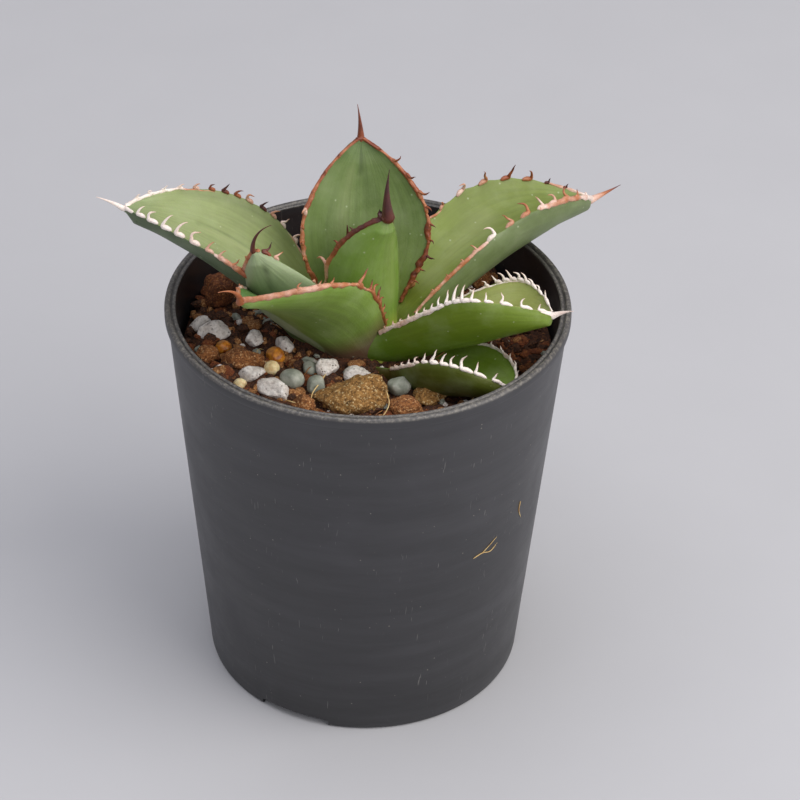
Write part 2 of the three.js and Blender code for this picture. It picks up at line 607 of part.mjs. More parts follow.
// The same shape without its shading directions and map, so that like corners can be merged
function bareGeometry(geometry) {
  const bare = geometry.clone();
  bare.deleteAttribute("normal");
  bare.deleteAttribute("uv");
  return bare;
}

// Short stout stem under the rosette, rooted in a plain hole in the soil
function stemSolid(grow = 0) {
  const r = STEM_RADIUS + grow;
  const outline = [
    [0, STEM_BOTTOM - grow],
    [r * 0.5, STEM_BOTTOM - grow],
    [r * 0.85, STEM_BOTTOM + 10],
    [r, STEM_TOP - 10],
    [r, STEM_TOP - 4],
    [r * 0.6, STEM_TOP - 1 + grow],
    [0, STEM_TOP + grow],
  ];
  return turned(outline, 20).translate([STEM_AT[0], STEM_AT[1], 0]);
}

// Body of the closed bud, and the young spine on its tip
function budSolid(grow = 0) {
  const path = [];
  const radii = [];
  for (const share of [0, 0.15, 0.4, 0.7, 1]) {
    path.push(
      new THREE.Vector3(
        BUD.at[0] + BUD.lean[0] * share * BUD.height,
        BUD.at[1] + BUD.lean[1] * share * BUD.height,
        STEM_TOP - 5 + share * BUD.height,
      ),
    );
    const size = BUD.radius * (1 - share ** 1.8 * 0.75) + grow;
    radii.push([size, size * 0.8]);
  }
  return rod(path, radii, 12, new THREE.Vector3(1, 0.3, 0));
}

function budSpineSolid(grow = 0) {
  const foot = new THREE.Vector3(
    BUD.at[0] + BUD.lean[0] * BUD.height,
    BUD.at[1] + BUD.lean[1] * BUD.height,
    STEM_TOP - 5 + BUD.height + GAP,
  );
  const path = [];
  const radii = [];
  for (const share of [0, 0.3, 1]) {
    path.push(foot.clone().add(new THREE.Vector3(-0.4 * share, 0.8 * share, share * BUD.spine)));
    const size = mix(0.8, 0.1, share ** 0.8) + grow;
    radii.push([size, size]);
  }
  return rod(path, radii, 8, new THREE.Vector3(1, 0, 0));
}

// Mesh with its own material, from a solid
function meshOf(name, solid, colour) {
  const mesh = solid.getMesh();
  const geometry = new THREE.BufferGeometry();
  geometry.setAttribute("position", new THREE.BufferAttribute(new Float32Array(mesh.vertProperties), 3));
  geometry.setIndex(new THREE.BufferAttribute(new Uint32Array(mesh.triVerts), 1));
  const [hex, roughness] = COLOURS[colour];
  const material = new THREE.MeshStandardMaterial({ color: hex, roughness, metalness: 0 });
  const part = new THREE.Mesh(geometry, material);
  part.name = name;
  part.position.set(POT_X, POT_Y, 0);
  return part;
}

const agave = new THREE.Group();
agave.add(meshOf("pot", potSolid(), "pot"));

// Each piece is cut clear of the ones set before it
const taken = [stemSolid(GAP)];
const clear = (solid) => largest(Manifold.difference([solid, ...taken]).asOriginal().simplify(0.08));
agave.add(meshOf("stem", stemSolid(), "stem"));

for (const leaf of LEAVES) {
  const blade = clear(bladeSolid(leaf));
  taken.push(bladeSolid(leaf, GAP));
  const horn = clear(hornSolid(leaf));
  taken.push(hornSolid(leaf, GAP));
  agave.add(meshOf(leaf.name, blade, "blade"));
  agave.add(meshOf(`${leaf.name}_horn`, horn, HORN_COLOUR[leaf.name]));
}
agave.add(meshOf("bud", clear(budSolid()), "blade"));
taken.push(budSolid(GAP));
agave.add(meshOf("bud_spine", clear(budSpineSolid()), "dark_horn"));
taken.push(budSpineSolid(GAP));

const counts = {};
STONES.forEach((stone, index) => {
  const kind = stone[0];
  counts[kind] = (counts[kind] || 0) + 1;
  const solid = clear(stoneSolid(stone, index));
  taken.push(stoneSolid(stone, index, GAP));
  agave.add(meshOf(`${kind}_${counts[kind]}`, solid, kind));
});
agave.add(meshOf("soil", clear(soilSolid()), "soil"));

export default agave;
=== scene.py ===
import math
import random

import bpy
import numpy as np
from mathutils import Matrix, Vector, noise


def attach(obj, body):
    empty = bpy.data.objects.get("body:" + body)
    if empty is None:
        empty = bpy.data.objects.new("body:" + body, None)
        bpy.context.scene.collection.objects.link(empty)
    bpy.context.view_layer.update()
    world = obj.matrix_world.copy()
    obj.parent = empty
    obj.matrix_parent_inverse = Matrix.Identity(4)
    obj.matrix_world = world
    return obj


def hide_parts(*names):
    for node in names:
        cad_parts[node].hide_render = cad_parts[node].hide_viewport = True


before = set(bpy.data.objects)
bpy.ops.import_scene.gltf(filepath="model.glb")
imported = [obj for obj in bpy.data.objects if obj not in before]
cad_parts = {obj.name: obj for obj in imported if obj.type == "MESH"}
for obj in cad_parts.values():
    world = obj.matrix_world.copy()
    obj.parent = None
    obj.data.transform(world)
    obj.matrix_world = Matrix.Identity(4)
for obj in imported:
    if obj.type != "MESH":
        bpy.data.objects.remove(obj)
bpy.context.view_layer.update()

MM = 0.001
STREAK_STRETCH = 14

# Pot, as the CAD has it
POT_X = 0.46
POT_HEIGHT = 94.7
RIM_RADIUS = 45
FOOT_RADIUS = 36.5
WALL = 1.6
LIP_PROUD = 0.45
BASE_RAISE = 2.4
BASE_THICKNESS = 1.6
NOTCH_WIDTH = 17
NOTCH_HEIGHT = 2
NOTCH_HEADINGS = (245, 5, 125)
DRAIN_RADIUS = 4
DRAIN_HEADINGS = (35, 155, 275)
DRAIN_REACH = 20
POT_SIDES = 160

# Soil, stem and clearances, as the CAD has them
GAP = 0.3
SOIL_LEVEL = 85.6
STEM_TOP = 90
SOIL_EDGE = 41.1
BARE_STEM = 8

# Leaf shaping: half the blade's thickness at its margin, how far it runs below its foot into the soil,
# the half width at which its tip narrows into the spine, and the part of a tooth's length that stands out
MARGIN_HALF = 0.45
BURIED_LENGTH = 7
NARROW_TIP = 2.6
TOOTH_REACH = 0.72
TOOTH_RINGS = 26
SPINE_RINGS = 26

# Camera, as fitted to the photograph's rim and foot
CAMERA_TARGET = (7.53, 0, 67.58)
CAMERA_DISTANCE = 619.87
CAMERA_ELEVATION = 36.07
CAMERA_ROLL = 1.329
CAMERA_LENS = 122.94

# The leaves. heading and bend turn the leaf about the pot's axis, rise is its slope at the foot and at
# the tip, curl is how far the blade closes into a gutter, roll tips it over sideways at the foot and
# twist adds to that. flare is how far the teeth stand up out of the margin, tail is -1 where a tooth's
# foot lies on its side nearer the stem. spine is length, spine_lift and spine_lean are its slopes at foot
# and point. A tooth is (place along, length, tone, curl), where curl 1 bends its point back over its foot.
# An edge stop is (place, band width, tone). A mark is (face, start, end, width, amount), with its ends as
# (place, side): a darker or paler mark on the upper face, 0, or the outer one, 1. Some marks are prints of
# other leaves, and some are painted shade and painted light along folds and creases. Tone runs from 0,
# cream, over pink-tan, orange-brown and red-brown to 1, near-black maroon.
LEAVES = {
    "leaf_front_left": dict(
        heading=223, bend=-0.6, rise=(59, 18), length=41.3, half_width=13.2,
        widest=0.53, foot_width=0.62, fullness=0.95, curl=0.54, roll=45.5, twist=-27.6,
        foot=(-3.2, -5.4, 87.3), thickness=3.2,
        flare=35, tail=-1, spine=10.5, spine_lift=(50, -8), spine_lean=(40, -6), spine_radius=0.85,
        left=[(0.05, 1.6, 0.5, 1), (0.1, 1.8, 0.55, 0.6), (0.15, 2.3, 0.5, -0.4), (0.21, 3.2, 0.55, 0.9),
              (0.26, 3.4, 0.62, -0.7), (0.33, 4, 0.55, 0.8), (0.37, 2.8, 0.6, -0.8), (0.48, 5.2, 0.5, 0.5),
              (0.66, 2, 0.45, 0.3), (0.72, 1.8, 0.4, 0.6), (0.81, 2.8, 0.42, 0.4)],
        right=[(0.2, 1.2, 0.1, 1), (0.35, 1.4, 0.15, 1), (0.5, 1.6, 0.1, 1), (0.63, 1.8, 0.12, 1),
               (0.75, 1.2, 0.45, 1), (0.87, 0.9, 0.5, 1)],
        left_edge=[(0, 0.5, 0.5), (0.3, 0.8, 0.55), (0.4, 0.3, 0.5), (0.46, 0.8, 0.5), (0.54, 0.3, 0.45),
                   (0.6, 1.7, 0.52), (0.66, 0.3, 0.42), (0.7, 1.5, 0.36), (0.85, 2, 0.38), (1, 1.5, 0.48)],
        right_edge=[(0, 0.35, 0.2), (0.6, 0.4, 0.12), (0.9, 0.7, 0.35), (1, 1.3, 0.5)],
        spine_tones=(0.5, 0.55, 0.5),
        marks=[(1, (0.3, -0.9), (0.02, -0.5), 0.5, -0.3), (1, (0.75, 0.3), (0.35, 0.1), 4, 0.12)],
        colours=dict(foot="6a5a4e", low="5d7038", body="55783c", tip="5f8550", under="7a9644",
                     under_foot="6b5440"),
    ),
    "leaf_front_right": dict(
        heading=-21.4, bend=10.8, rise=(25, 20), length=38, half_width=15.1,
        widest=0.67, foot_width=0.56, fullness=0.93, curl=1, roll=-20.4, twist=-2.7,
        foot=(6.2, -3.2, 86.8), thickness=4.5,
        flare=55, tail=1, spine=5.1, spine_lift=(11, -4), spine_lean=(0, -20), spine_radius=0.8,
        left=[(0.1, 1, 0, -1), (0.2, 1, 0, -1), (0.3, 1.2, 0, -1), (0.4, 1.4, 0, -1), (0.5, 2, 0.05, -1),
              (0.57, 3, 0, -0.8), (0.62, 3.4, 0, -1), (0.67, 3.2, 0, -0.6), (0.72, 3.2, 0, -1),
              (0.77, 2.8, 0, -0.5), (0.82, 2.6, 0, -1), (0.87, 2.4, 0, -0.8), (0.93, 2.8, 0, 0.6)],
        right=[(0.08, 1.2, 0.25, 1), (0.14, 1.3, 0.2, 0.4), (0.2, 1.4, 0.12, 1), (0.26, 1.4, 0.14, 0.5),
               (0.32, 1.6, 0.12, 1), (0.38, 1.7, 0.08, 0.3), (0.43, 2, 0.05, 0.8), (0.48, 2.8, 0, 0.4),
               (0.53, 4, 0, 0.5), (0.58, 4.6, 0, 0.8), (0.63, 4.6, 0, 0.6), (0.68, 3.8, 0, 0.9),
               (0.75, 2.8, 0, 0.4), (0.82, 3.6, 0, 0.2), (0.9, 3, 0, 1.3), (0.96, 2.2, 0, 1.2)],
        left_edge=[(0, 0.3, 0.1), (0.5, 0.3, 0.05), (0.55, 0.22, 0), (0.9, 0.3, 0), (1, 0.8, 0)],
        right_edge=[(0, 0.8, 0.28), (0.2, 0.8, 0.15), (0.44, 0.65, 0.05), (0.51, 0.3, 0), (0.55, 0.04, 0),
                    (0.95, 0.04, 0), (1, 0.9, 0)],
        spine_tones=(0, 0.05, 0.15),
        colours=dict(foot="6f8f35", low="84923e", body="929a54", tip="969d62", under="667c20",
                     under_foot="5f7e1c"),
    ),
    "leaf_low_right": dict(
        heading=-30, bend=-11.4, rise=(12.6, 15), length=29.4, half_width=12.5,
        widest=0.47, foot_width=0.54, fullness=0.88, curl=0.81, roll=-10.6, twist=-14.1,
        foot=(8.3, -8.9, 83.4), thickness=5,
        flare=55, tail=1, spine=3.4, spine_lift=(60, 80), spine_lean=(0, 0), spine_radius=0.8,
        left=[(0.3, 1, 0, 1), (0.4, 1.2, 0, -0.6), (0.5, 1.6, 0, 1), (0.6, 1.6, 0, -0.6), (0.7, 1.8, 0, 1),
              (0.8, 1.8, 0, -0.5), (0.9, 2, 0, 1)],
        right=[(0.1, 1, 0.15, 0.5), (0.2, 1.3, 0.08, 1), (0.29, 1.7, 0.05, 0.4), (0.38, 2.4, 0.1, 1),
               (0.46, 3, 0, 0.5), (0.54, 3.6, 0, 0.8), (0.62, 3.4, 0, 1), (0.69, 3.2, 0, 0.6),
               (0.76, 4.2, 0, 0.7), (0.84, 3.4, 0, 0.2), (0.93, 2.6, 0, 1.3)],
        left_edge=[(0, 0.3, 0.1), (0.3, 0.4, 0.05), (1, 0.5, 0)],
        right_edge=[(0, 0.5, 0.2), (0.35, 0.45, 0.1), (0.44, 0.04, 0), (0.93, 0.04, 0), (1, 0.7, 0)],
        spine_tones=(0, 0.05, 0.1),
        colours=dict(foot="5a7220", low="5e7820", body="668224", tip="6c8430", under="50591a",
                     under_foot="544c1a"),
    ),
    "leaf_left_inner": dict(
        heading=206, bend=5, rise=(42.5, 67.5), length=36.5, half_width=10.5,
        widest=0.41, foot_width=0.5, fullness=1.02, curl=0.14, roll=31, twist=18.4,
        foot=(-6.1, -3.5, 86.7), thickness=3.6,
        flare=40, tail=-1, spine=8.9, spine_lift=(16, 6), spine_lean=(15, 80), spine_radius=0.55,
        left=[(0.35, 1, 0.5, 1), (0.5, 1, 0.45, 1), (0.65, 0.8, 0.4, 1),
              (0.9, 2.6, 0.3, 0.3), (0.965, 4.2, 0.75, -0.4)],
        right=[(0.35, 1, 0.3, 1), (0.48, 1, 0.3, 1), (0.6, 1.2, 0.3, 1), (0.72, 1, 0.35, 1),
               (0.83, 1.2, 0.4, 1), (0.93, 1.6, 0.5, 1)],
        left_edge=[(0, 0.1, 0.4), (0.9, 0.05, 0.4), (0.97, 0.2, 0.45), (1, 0.7, 0.5)],
        right_edge=[(0, 0.6, 0.3), (0.4, 2.2, 0.26), (0.8, 2.2, 0.3), (0.93, 1.2, 0.45), (1, 0.8, 0.5)],
        spine_tones=(0.6, 0.85, 0.78),
        marks=[(1, (0.93, 0.75), (0.87, 0.37), 1.3, 0.35), (1, (0.87, 0.37), (0.72, 0.04), 1.1, 0.3)],
        colours=dict(foot="8a9a50", low="8fa058", body="8a9a68", tip="869a72", under="93a27c",
                     under_foot="92a266"),
    ),
    "leaf_centre": dict(
        heading=-40.4, bend=3.2, rise=(108, 61), length=33.4, half_width=9.1,
        widest=0.42, foot_width=0.55, fullness=0.97, curl=0.92, roll=-20, twist=0.1,
        foot=(1.2, -1.8, 87.2), thickness=5.2,
        flare=25, tail=-1, spine=12.3, spine_lift=(26, 24), spine_lean=(-19, -2), spine_radius=1.5,
        left=[(0.45, 1, 0.7, 1), (0.6, 1, 0.75, 1), (0.75, 1.1, 0.8, 1)],
        right=[(0.38, 1.6, 0.45, 1), (0.52, 4.6, 0.33, 0.5), (0.68, 2.2, 0.62, 0.6), (0.81, 1.5, 0.8, 0.3)],
        left_edge=[(0, 0.5, 0.5), (0.4, 0.9, 0.6), (0.7, 1.5, 0.75), (1, 1.8, 0.85)],
        right_edge=[(0, 0.6, 0.45), (0.4, 0.7, 0.42), (0.52, 2, 0.42), (0.58, 0.9, 0.5), (0.68, 2.2, 0.62),
                    (0.74, 1.1, 0.76), (0.8, 2, 0.8), (0.86, 1.3, 0.82), (1, 2.3, 0.86)],
        spine_tones=(0.66, 0.84, 0.9),
        # The first mark is painted shade along the keel fold, and the second is painted light on a strip
        # beside it.
        marks=[(1, (0.88, 0.78), (0.14, 0.62), 1.6, 0.22), (1, (0.8, 0.3), (0.3, 0.3), 2, -0.12),
               (1, (0.95, 0.9), (0.95, -0.9), 2.2, 0.16)],
        colours=dict(foot="a0a83c", low="8b9c3c", body="7c983e", tip="76904c", under="6f8c3a",
                     under_foot="98a23c"),
    ),
    "leaf_left": dict(
        heading=180.9, bend=9.3, rise=(63.4, 14), length=57.2, half_width=14.4,
        widest=0.41, foot_width=0.42, fullness=0.98, curl=0.48, roll=-4.6, twist=0,
        foot=(-10, 2.9, 84.3), thickness=6.3,
        flare=70, tail=-1, spine=6.6, spine_lift=(28, 8), spine_lean=(3, -2), spine_radius=0.65,
        left=[(0.46, 1.8, 0.5, 0.6), (0.52, 2.2, 0.5, 1), (0.58, 2.6, 0.42, 0.5), (0.64, 3, 0.3, 0.8),
              (0.69, 3.8, 0.3, 0.6), (0.75, 4.8, 0.12, 0.8), (0.81, 5.4, 0.05, 1), (0.86, 4.8, 0, 0.9),
              (0.91, 4.6, 0, 1.1), (0.95, 3.6, 0, 1.2)],
        right=[(0.22, 1.8, 0.5, 0.6), (0.29, 2.6, 0.2, 1), (0.36, 2.8, 0.15, 0.4), (0.41, 3, 0.35, 1),
               (0.46, 3.4, 0.9, 0.3), (0.52, 3.4, 0.35, 1.2), (0.57, 3.2, 0.6, 1.1), (0.62, 3.4, 0.8, 0.2),
               (0.67, 2.8, 0.65, 0.5), (0.73, 2.6, 0.3, 1.1), (0.79, 2.6, 0.08, 1.2), (0.85, 2.8, 0, 1),
               (0.9, 2.4, 0, 1.2), (0.95, 2, 0, 1)],
        left_edge=[(0, 0.4, 0.4), (0.42, 0.5, 0.5), (0.5, 0.9, 0.5), (0.63, 0.8, 0.38), (0.67, 0.04, 0.2),
                   (0.95, 0.04, 0), (1, 0.8, 0)],
        right_edge=[(0, 0.3, 0.4), (0.3, 0.22, 0.3), (0.5, 0.1, 0.5), (0.75, 0.25, 0.4), (0.82, 0.5, 0),
                    (1, 0.8, 0)],
        spine_tones=(0, 0, 0.1),
        # The first mark is painted shade along a crease, and the second is painted light on a strip beside
        # it.
        marks=[(0, (0.7, -0.09), (0.4, -0.16), 0.6, 0.3), (0, (0.66, 0), (0.36, -0.06), 1.3, -0.16),
               (0, (0.3, -0.9), (0.75, -0.95), 2.2, 0.25), (0, (0.2, -0.2), (0.32, 0.9), 3, 0.2)],
        colours=dict(foot="829442", low="8f9f52", body="8c9866", tip="7f8f66", under="56654a",
                     under_foot="5c7030"),
    ),
    "leaf_right": dict(
        heading=42.5, bend=-6.4, rise=(32, -11), length=59.1, half_width=13.6,
        widest=0.53, foot_width=0.52, fullness=0.92, curl=1.15, roll=-12, twist=0,
        foot=(6.7, 2.7, 88.5), thickness=4.9,
        flare=58, tail=-1, spine=9, spine_lift=(14, 20), spine_lean=(0, -5), spine_radius=0.95,
        left=[(0.2, 1.4, 0.5, 1), (0.28, 1.8, 0.5, 1), (0.36, 2.2, 0.5, 0.5), (0.44, 2.4, 0.4, 1),
              (0.54, 5.8, 0.25, 1.3), (0.64, 6.4, 0.42, 0.9), (0.73, 6, 0.62, -0.5), (0.81, 4.4, 0.55, 1.1),
              (0.87, 1.8, 0.9, -0.4), (0.93, 1.5, 0.85, -0.4)],
        right=[(0.13, 1, 0.4, 1), (0.2, 1.2, 0.45, 0.5), (0.27, 1.5, 0.4, 1), (0.33, 2.2, 0.35, 0.8),
               (0.41, 4.8, 0.05, 1.3), (0.49, 4, 0.42, 1.1), (0.56, 5.6, 0.48, 1), (0.63, 3.4, 0.2, 0.6),
               (0.69, 3.6, 0.28, 1.3), (0.76, 4, 0.46, -0.8), (0.83, 2.6, 0.5, -0.6), (0.9, 1.6, 0.1, 1)],
        left_edge=[(0, 0.4, 0.5), (0.35, 0.4, 0.45), (0.48, 0.05, 0.4), (0.84, 0.05, 0.6), (0.87, 0.4, 0.4),
                   (0.95, 0.5, 0.2), (1, 0.9, 0.1)],
        right_edge=[(0, 0.3, 0.42), (0.3, 0.45, 0.42), (0.37, 0.4, 0.25), (0.4, 0.04, 0.3), (0.6, 0.05, 0.3),
                    (0.63, 0.8, 0.22), (0.74, 1.1, 0.42), (0.83, 0.9, 0.42), (0.88, 0.9, 0.15), (1, 1, 0.1)],
        spine_tones=(0.1, 0.3, 0.85),
        marks=[(0, (0.55, 0.45), (0.2, 0.1), 3, -0.18), (0, (0.1, -0.3), (0.5, -0.75), 2, 0.22)],
        colours=dict(foot="7c8e30", low="82933a", body="75843f", tip="72824a", under="66754a",
                     under_foot="5a7028"),
    ),
    "leaf_back": dict(
        heading=99.5, bend=-8, rise=(71.6, 72.7), length=39.4, half_width=15.1,
        widest=0.46, foot_width=0.54, fullness=0.97, curl=0.62, roll=8.9, twist=0.5,
        foot=(-1.1, 4.7, 89), thickness=5.5,
        flare=25, tail=-1, spine=7.8, spine_lift=(22, 3), spine_lean=(5, 11), spine_radius=0.8,
        left=[(0.2, 1.6, 0.5, 1), (0.28, 1.6, 0.55, 0.4), (0.36, 1.4, 0.5, 1), (0.45, 1.8, 0.55, 0.6),
              (0.54, 1.8, 0.6, 1), (0.63, 3.2, 0.28, 0.4), (0.73, 1.8, 0.55, 1), (0.83, 1.6, 0.6, 0.5),
              (0.91, 1.2, 0.65, 1)],
        right=[(0.16, 2, 0.55, 1), (0.23, 2.2, 0.6, 0.4), (0.31, 3.2, 0.75, 0.3), (0.4, 2, 0.65, 1),
               (0.5, 2.2, 0.6, 0.6), (0.6, 2.6, 0.6, 0.8), (0.69, 4, 0.52, -0.4), (0.79, 4, 0.6, 0.1),
               (0.87, 4, 0.55, -1.4), (0.94, 1.6, 0.62, 0.5)],
        left_edge=[(0, 0.6, 0.5), (0.26, 0.9, 0.5), (0.33, 0.3, 0.5), (0.4, 0.8, 0.45), (0.55, 0.4, 0.5),
                   (0.7, 0.9, 0.56), (0.84, 0.5, 0.6), (1, 0.9, 0.6)],
        right_edge=[(0, 0.7, 0.55), (0.28, 1.1, 0.65), (0.36, 0.4, 0.6), (0.46, 1, 0.6), (0.56, 0.3, 0.5),
                    (0.68, 1, 0.55), (0.8, 0.8, 0.55), (1, 0.9, 0.6)],
        spine_tones=(0.6, 0.68, 0.72),
        # The first two marks are painted shade down the gutter below the tip, and the third is painted light
        # on a strip beside it.
        marks=[(0, (0.95, 0), (0.8, 0.02), 0.9, 0.35), (0, (0.88, -0.05), (0.62, -0.2), 1.6, 0.24),
               (0, (0.8, 0.25), (0.45, 0.3), 1.8, -0.14), (0, (0.3, 0.9), (0.1, 0.2), 3, 0.2)],
        colours=dict(foot="7c8c3c", low="6e8440", body="6a7f48", tip="5f7848", under="5f7a48",
                     under_foot="5f7a38"),
    ),
}

BUD = dict(at=(-3.6, 3), height=19, radius=3, lean=(-0.05, 0.12), spine=6)

# Loose stones on the soil: kind, x, y, length, width, height, turn in degrees
STONES = [
    ("pumice", -37.3, 3, 5.6, 4, 3.4, 10),
    ("pumice", -34, -0.6, 7, 4.6, 4, 25),
    ("pumice", -25.3, -3.2, 3.4, 5, 3.6, 15),
    ("pumice", -18.4, -4.6, 3.4, 4.6, 3.4, 30),
    ("pumice", -24.9, -16.4, 6, 4, 3.2, -8),
    ("pumice", -19.6, -22.4, 8, 5, 4, -38),
    ("pumice", -8.8, -14.2, 5.2, 5, 4.4, -40),
    ("pumice", -1.6, -15.9, 6, 4.6, 3.8, 8),
    ("amber_bead", -31.8, -6.6, 3.6, 3, 2.8, -35),
    ("amber_bead", -20.2, -9.2, 4, 3.8, 3.8, 20),
    ("cream_bead", -20.6, -15.4, 3, 3, 3, 0),
    ("cream_bead", -27.3, -19.2, 2.6, 2.6, 2.4, 0),
    ("brown_lump", -26.8, -11, 8.6, 6.6, 5, -12),
    ("brown_lump", -35.4, -9.6, 5.4, 5, 4.2, 30),
    ("brown_lump", -13.6, -27, 5.4, 5, 4, 15),
    ("gold_lump", -2.2, -23.6, 13.6, 9.6, 8, 8),
    ("brown_lump", 8.4, -27.6, 8.6, 6.4, 4.6, -6),
    ("gold_lump", 13.6, -21.6, 6.8, 6.6, 6, 20),
    ("dark_lump", -34, 12.6, 8, 7.6, 9.5, 20),
    ("dark_lump", 29, -8.6, 5, 4.4, 3.4, 40),
    ("dark_lump", 35.5, -9, 5.4, 4, 3.4, 80),
    ("brown_lump", 25.5, 25.5, 6, 5, 4, 45),
    ("brown_lump", -17, 30, 7, 5.4, 4.4, 130),
    ("pumice", 6, 34.5, 6, 4.6, 3.8, 170),
    ("pumice", 34.5, 13.5, 5.4, 4.4, 3.6, 70),
    ("grey_pebble", -16, -19.2, 4.8, 4, 3.6, -20),
    ("grey_pebble", -10.6, -20.6, 4, 4.4, 3.8, 10),
    ("grey_pebble", -12.2, -14, 3.6, 3.4, 3, 0),
    ("grey_pebble", 7.2, -20.2, 4.8, 4, 3.8, 20),
]
# How each kind is broken: number of flat faces, how far in they may cut, depth of its crumbly grain
STONE_FORMS = dict(pumice=(11, 0.68, 0.07), amber_bead=(6, 0.82, 0.03), cream_bead=(4, 0.9, 0.03),
                   brown_lump=(14, 0.66, 0.11), gold_lump=(11, 0.62, 0.17), dark_lump=(14, 0.66, 0.11),
                   grey_pebble=(7, 0.84, 0.02))


# Colours and material nodes
def colour(hex_code):
    channels = [int(hex_code[i:i + 2], 16) / 255 for i in (0, 2, 4)]
    linear = [c / 12.92 if c <= 0.04045 else ((c + 0.055) / 1.055) ** 2.4 for c in channels]
    return (*linear, 1)


def feed(tree, socket, value):
    """Gives a socket another node's output, a hex colour or a plain value."""
    if isinstance(value, bpy.types.NodeSocket):
        tree.links.new(value, socket)
    else:
        socket.default_value = colour(value) if isinstance(value, str) else value


def add_node(tree, kind, settings=None, **links):
    """A node with its settings. A link names a socket and gives a value or another node's output."""
    node = tree.nodes.new(kind)
    for key, value in (settings or {}).items():
        setattr(node, key, value)
    for name, value in links.items():
        feed(tree, node.inputs[name.replace("_", " ")], value)
    return node


def ramp(tree, factor, stops):
    """Colour ramp over a factor. Stops are (position, hex colour or grey value)."""
    node = add_node(tree, "ShaderNodeValToRGB", Fac=factor)
    elements = node.color_ramp.elements
    while len(elements) < len(stops):
        elements.new(0.5)
    for element, (position, value) in zip(elements, stops):
        element.position = position
        element.color = colour(value) if isinstance(value, str) else (value, value, value, 1)
    return node.outputs[0]


def blend(tree, factor, a, b, kind="MIX"):
    """Mixed colour of a and b, each a hex colour or another node's output."""
    node = add_node(tree, "ShaderNodeMix", {"data_type": "RGBA", "blend_type": kind})
    factor_input, a_input, b_input = (node.inputs[i] for i in (0, 6, 7))
    feed(tree, factor_input, factor)
    feed(tree, a_input, a)
    feed(tree, b_input, b)
    return node.outputs[2]


def calculate(tree, operation, *values):
    """Output of a maths node. A value may be a number or another node's output."""
    node = add_node(tree, "ShaderNodeMath", {"operation": operation})
    for socket, value in zip(node.inputs, values):
        feed(tree, socket, value)
    return node.outputs[0]


def times(tree, *values):
    return calculate(tree, "MULTIPLY", *values)


def attribute(tree, name):
    return add_node(tree, "ShaderNodeAttribute", {"attribute_name": name}).outputs["Fac"]


def noise_at(tree, size_mm, place, detail=3, rough=0.55):
    """Soft noise whose patches are about size_mm across."""
    return add_node(tree, "ShaderNodeTexNoise", Vector=place, Scale=1 / (size_mm * MM), Detail=detail,
                    Roughness=rough).outputs["Fac"]


def cells_at(tree, size_mm, place, output="Distance"):
    """Cells about size_mm apart: how far each point is from its cell's middle, or its cell's own colour."""
    return add_node(tree, "ShaderNodeTexVoronoi", Vector=place, Scale=1 / (size_mm * MM)).outputs[output]


def new_material(name):
    material = bpy.data.materials.new(name)
    material.use_nodes = True
    tree = material.node_tree
    place = add_node(tree, "ShaderNodeTexCoord").outputs["Object"]
    return material, tree, tree.nodes["Principled BSDF"], place


def set_shader(tree, shader, height=None, height_mm=0.1, strength=1, **sockets):
    """Sets the shader's sockets, and a bump from a height field that is height_mm deep."""
    for name, value in sockets.items():
        feed(tree, shader.inputs[name.replace("_", " ")], value)
    if height is not None:
        bump = add_node(tree, "ShaderNodeBump", Height=height, Distance=height_mm * MM, Strength=strength)
        tree.links.new(bump.outputs[0], shader.inputs["Normal"])


# Living agave skin: matt, a little translucent, with long faint streaks, patches of waxy bloom, pale
# specks, the prints of other leaves, and painted shade and painted light along folds and creases
def agave_skin(name, foot, low, body, tip, under, under_foot, half_width, length):
    material, tree, shader, place = new_material(name)
    along = attribute(tree, "place")
    side = attribute(tree, "side")
    below = attribute(tree, "under")
    face = ramp(tree, along, [(0, foot), (0.18, low), (0.5, body), (0.85, body), (1, tip)])
    back = ramp(tree, along, [(0, under_foot), (0.03, under_foot), (0.2, under), (1, under)])
    skin = blend(tree, below, face, back)
    streak_place = add_node(
        tree, "ShaderNodeCombineXYZ",
        X=times(tree, side, half_width * MM),
        Y=times(tree, along, length * MM / STREAK_STRETCH),
        Z=times(tree, below, 20 * MM),
    ).outputs[0]
    streaks = noise_at(tree, 1.1, streak_place, detail=4)
    patches = noise_at(tree, 7, place, detail=4, rough=0.6)
    fine = noise_at(tree, 0.5, place, detail=2)
    darker = ramp(tree, streaks, [(0.3, 0.82), (0.55, 1), (0.75, 1.12)])
    skin = blend(tree, 0.75, skin, darker, "MULTIPLY")
    skin = blend(tree, 0.5, skin, ramp(tree, patches, [(0.3, 0.86), (0.5, 1), (0.7, 1.1)]), "MULTIPLY")
    # Marks from the shade attribute are the prints of other leaves plus painted shade and painted light
    # along folds and creases. Above 0 they darken the skin, below 0 they lighten it.
    darker_marks_and_painted_shade = attribute(tree, "shade")
    skin = blend(tree, ramp(tree, darker_marks_and_painted_shade, [(0, 0), (1, 1)]), skin, "23331a")
    paler_marks_and_painted_light = times(tree, darker_marks_and_painted_shade, -1)
    skin = blend(tree, ramp(tree, paler_marks_and_painted_light, [(0, 0), (1, 1)]), skin, "b9bd8e")
    skin = blend(tree, ramp(tree, patches, [(0.45, 0), (0.75, 0.22)]), skin, "a3ad8c")
    skin = blend(tree, ramp(tree, cells_at(tree, 3.2, place), [(0.05, 0.5), (0.09, 0)]), skin, "b9c2a4")
    grain = calculate(tree, "ADD", times(tree, fine, 0.5), streaks)
    set_shader(tree, shader, grain, 0.16, 0.6, Base_Color=skin, Roughness=0.5, IOR=1.45,
               Specular_IOR_Level=0.4, Subsurface_Weight=0.12, Subsurface_Scale=0.0015,
               Subsurface_Radius=(0.5, 1, 0.25))
    return material


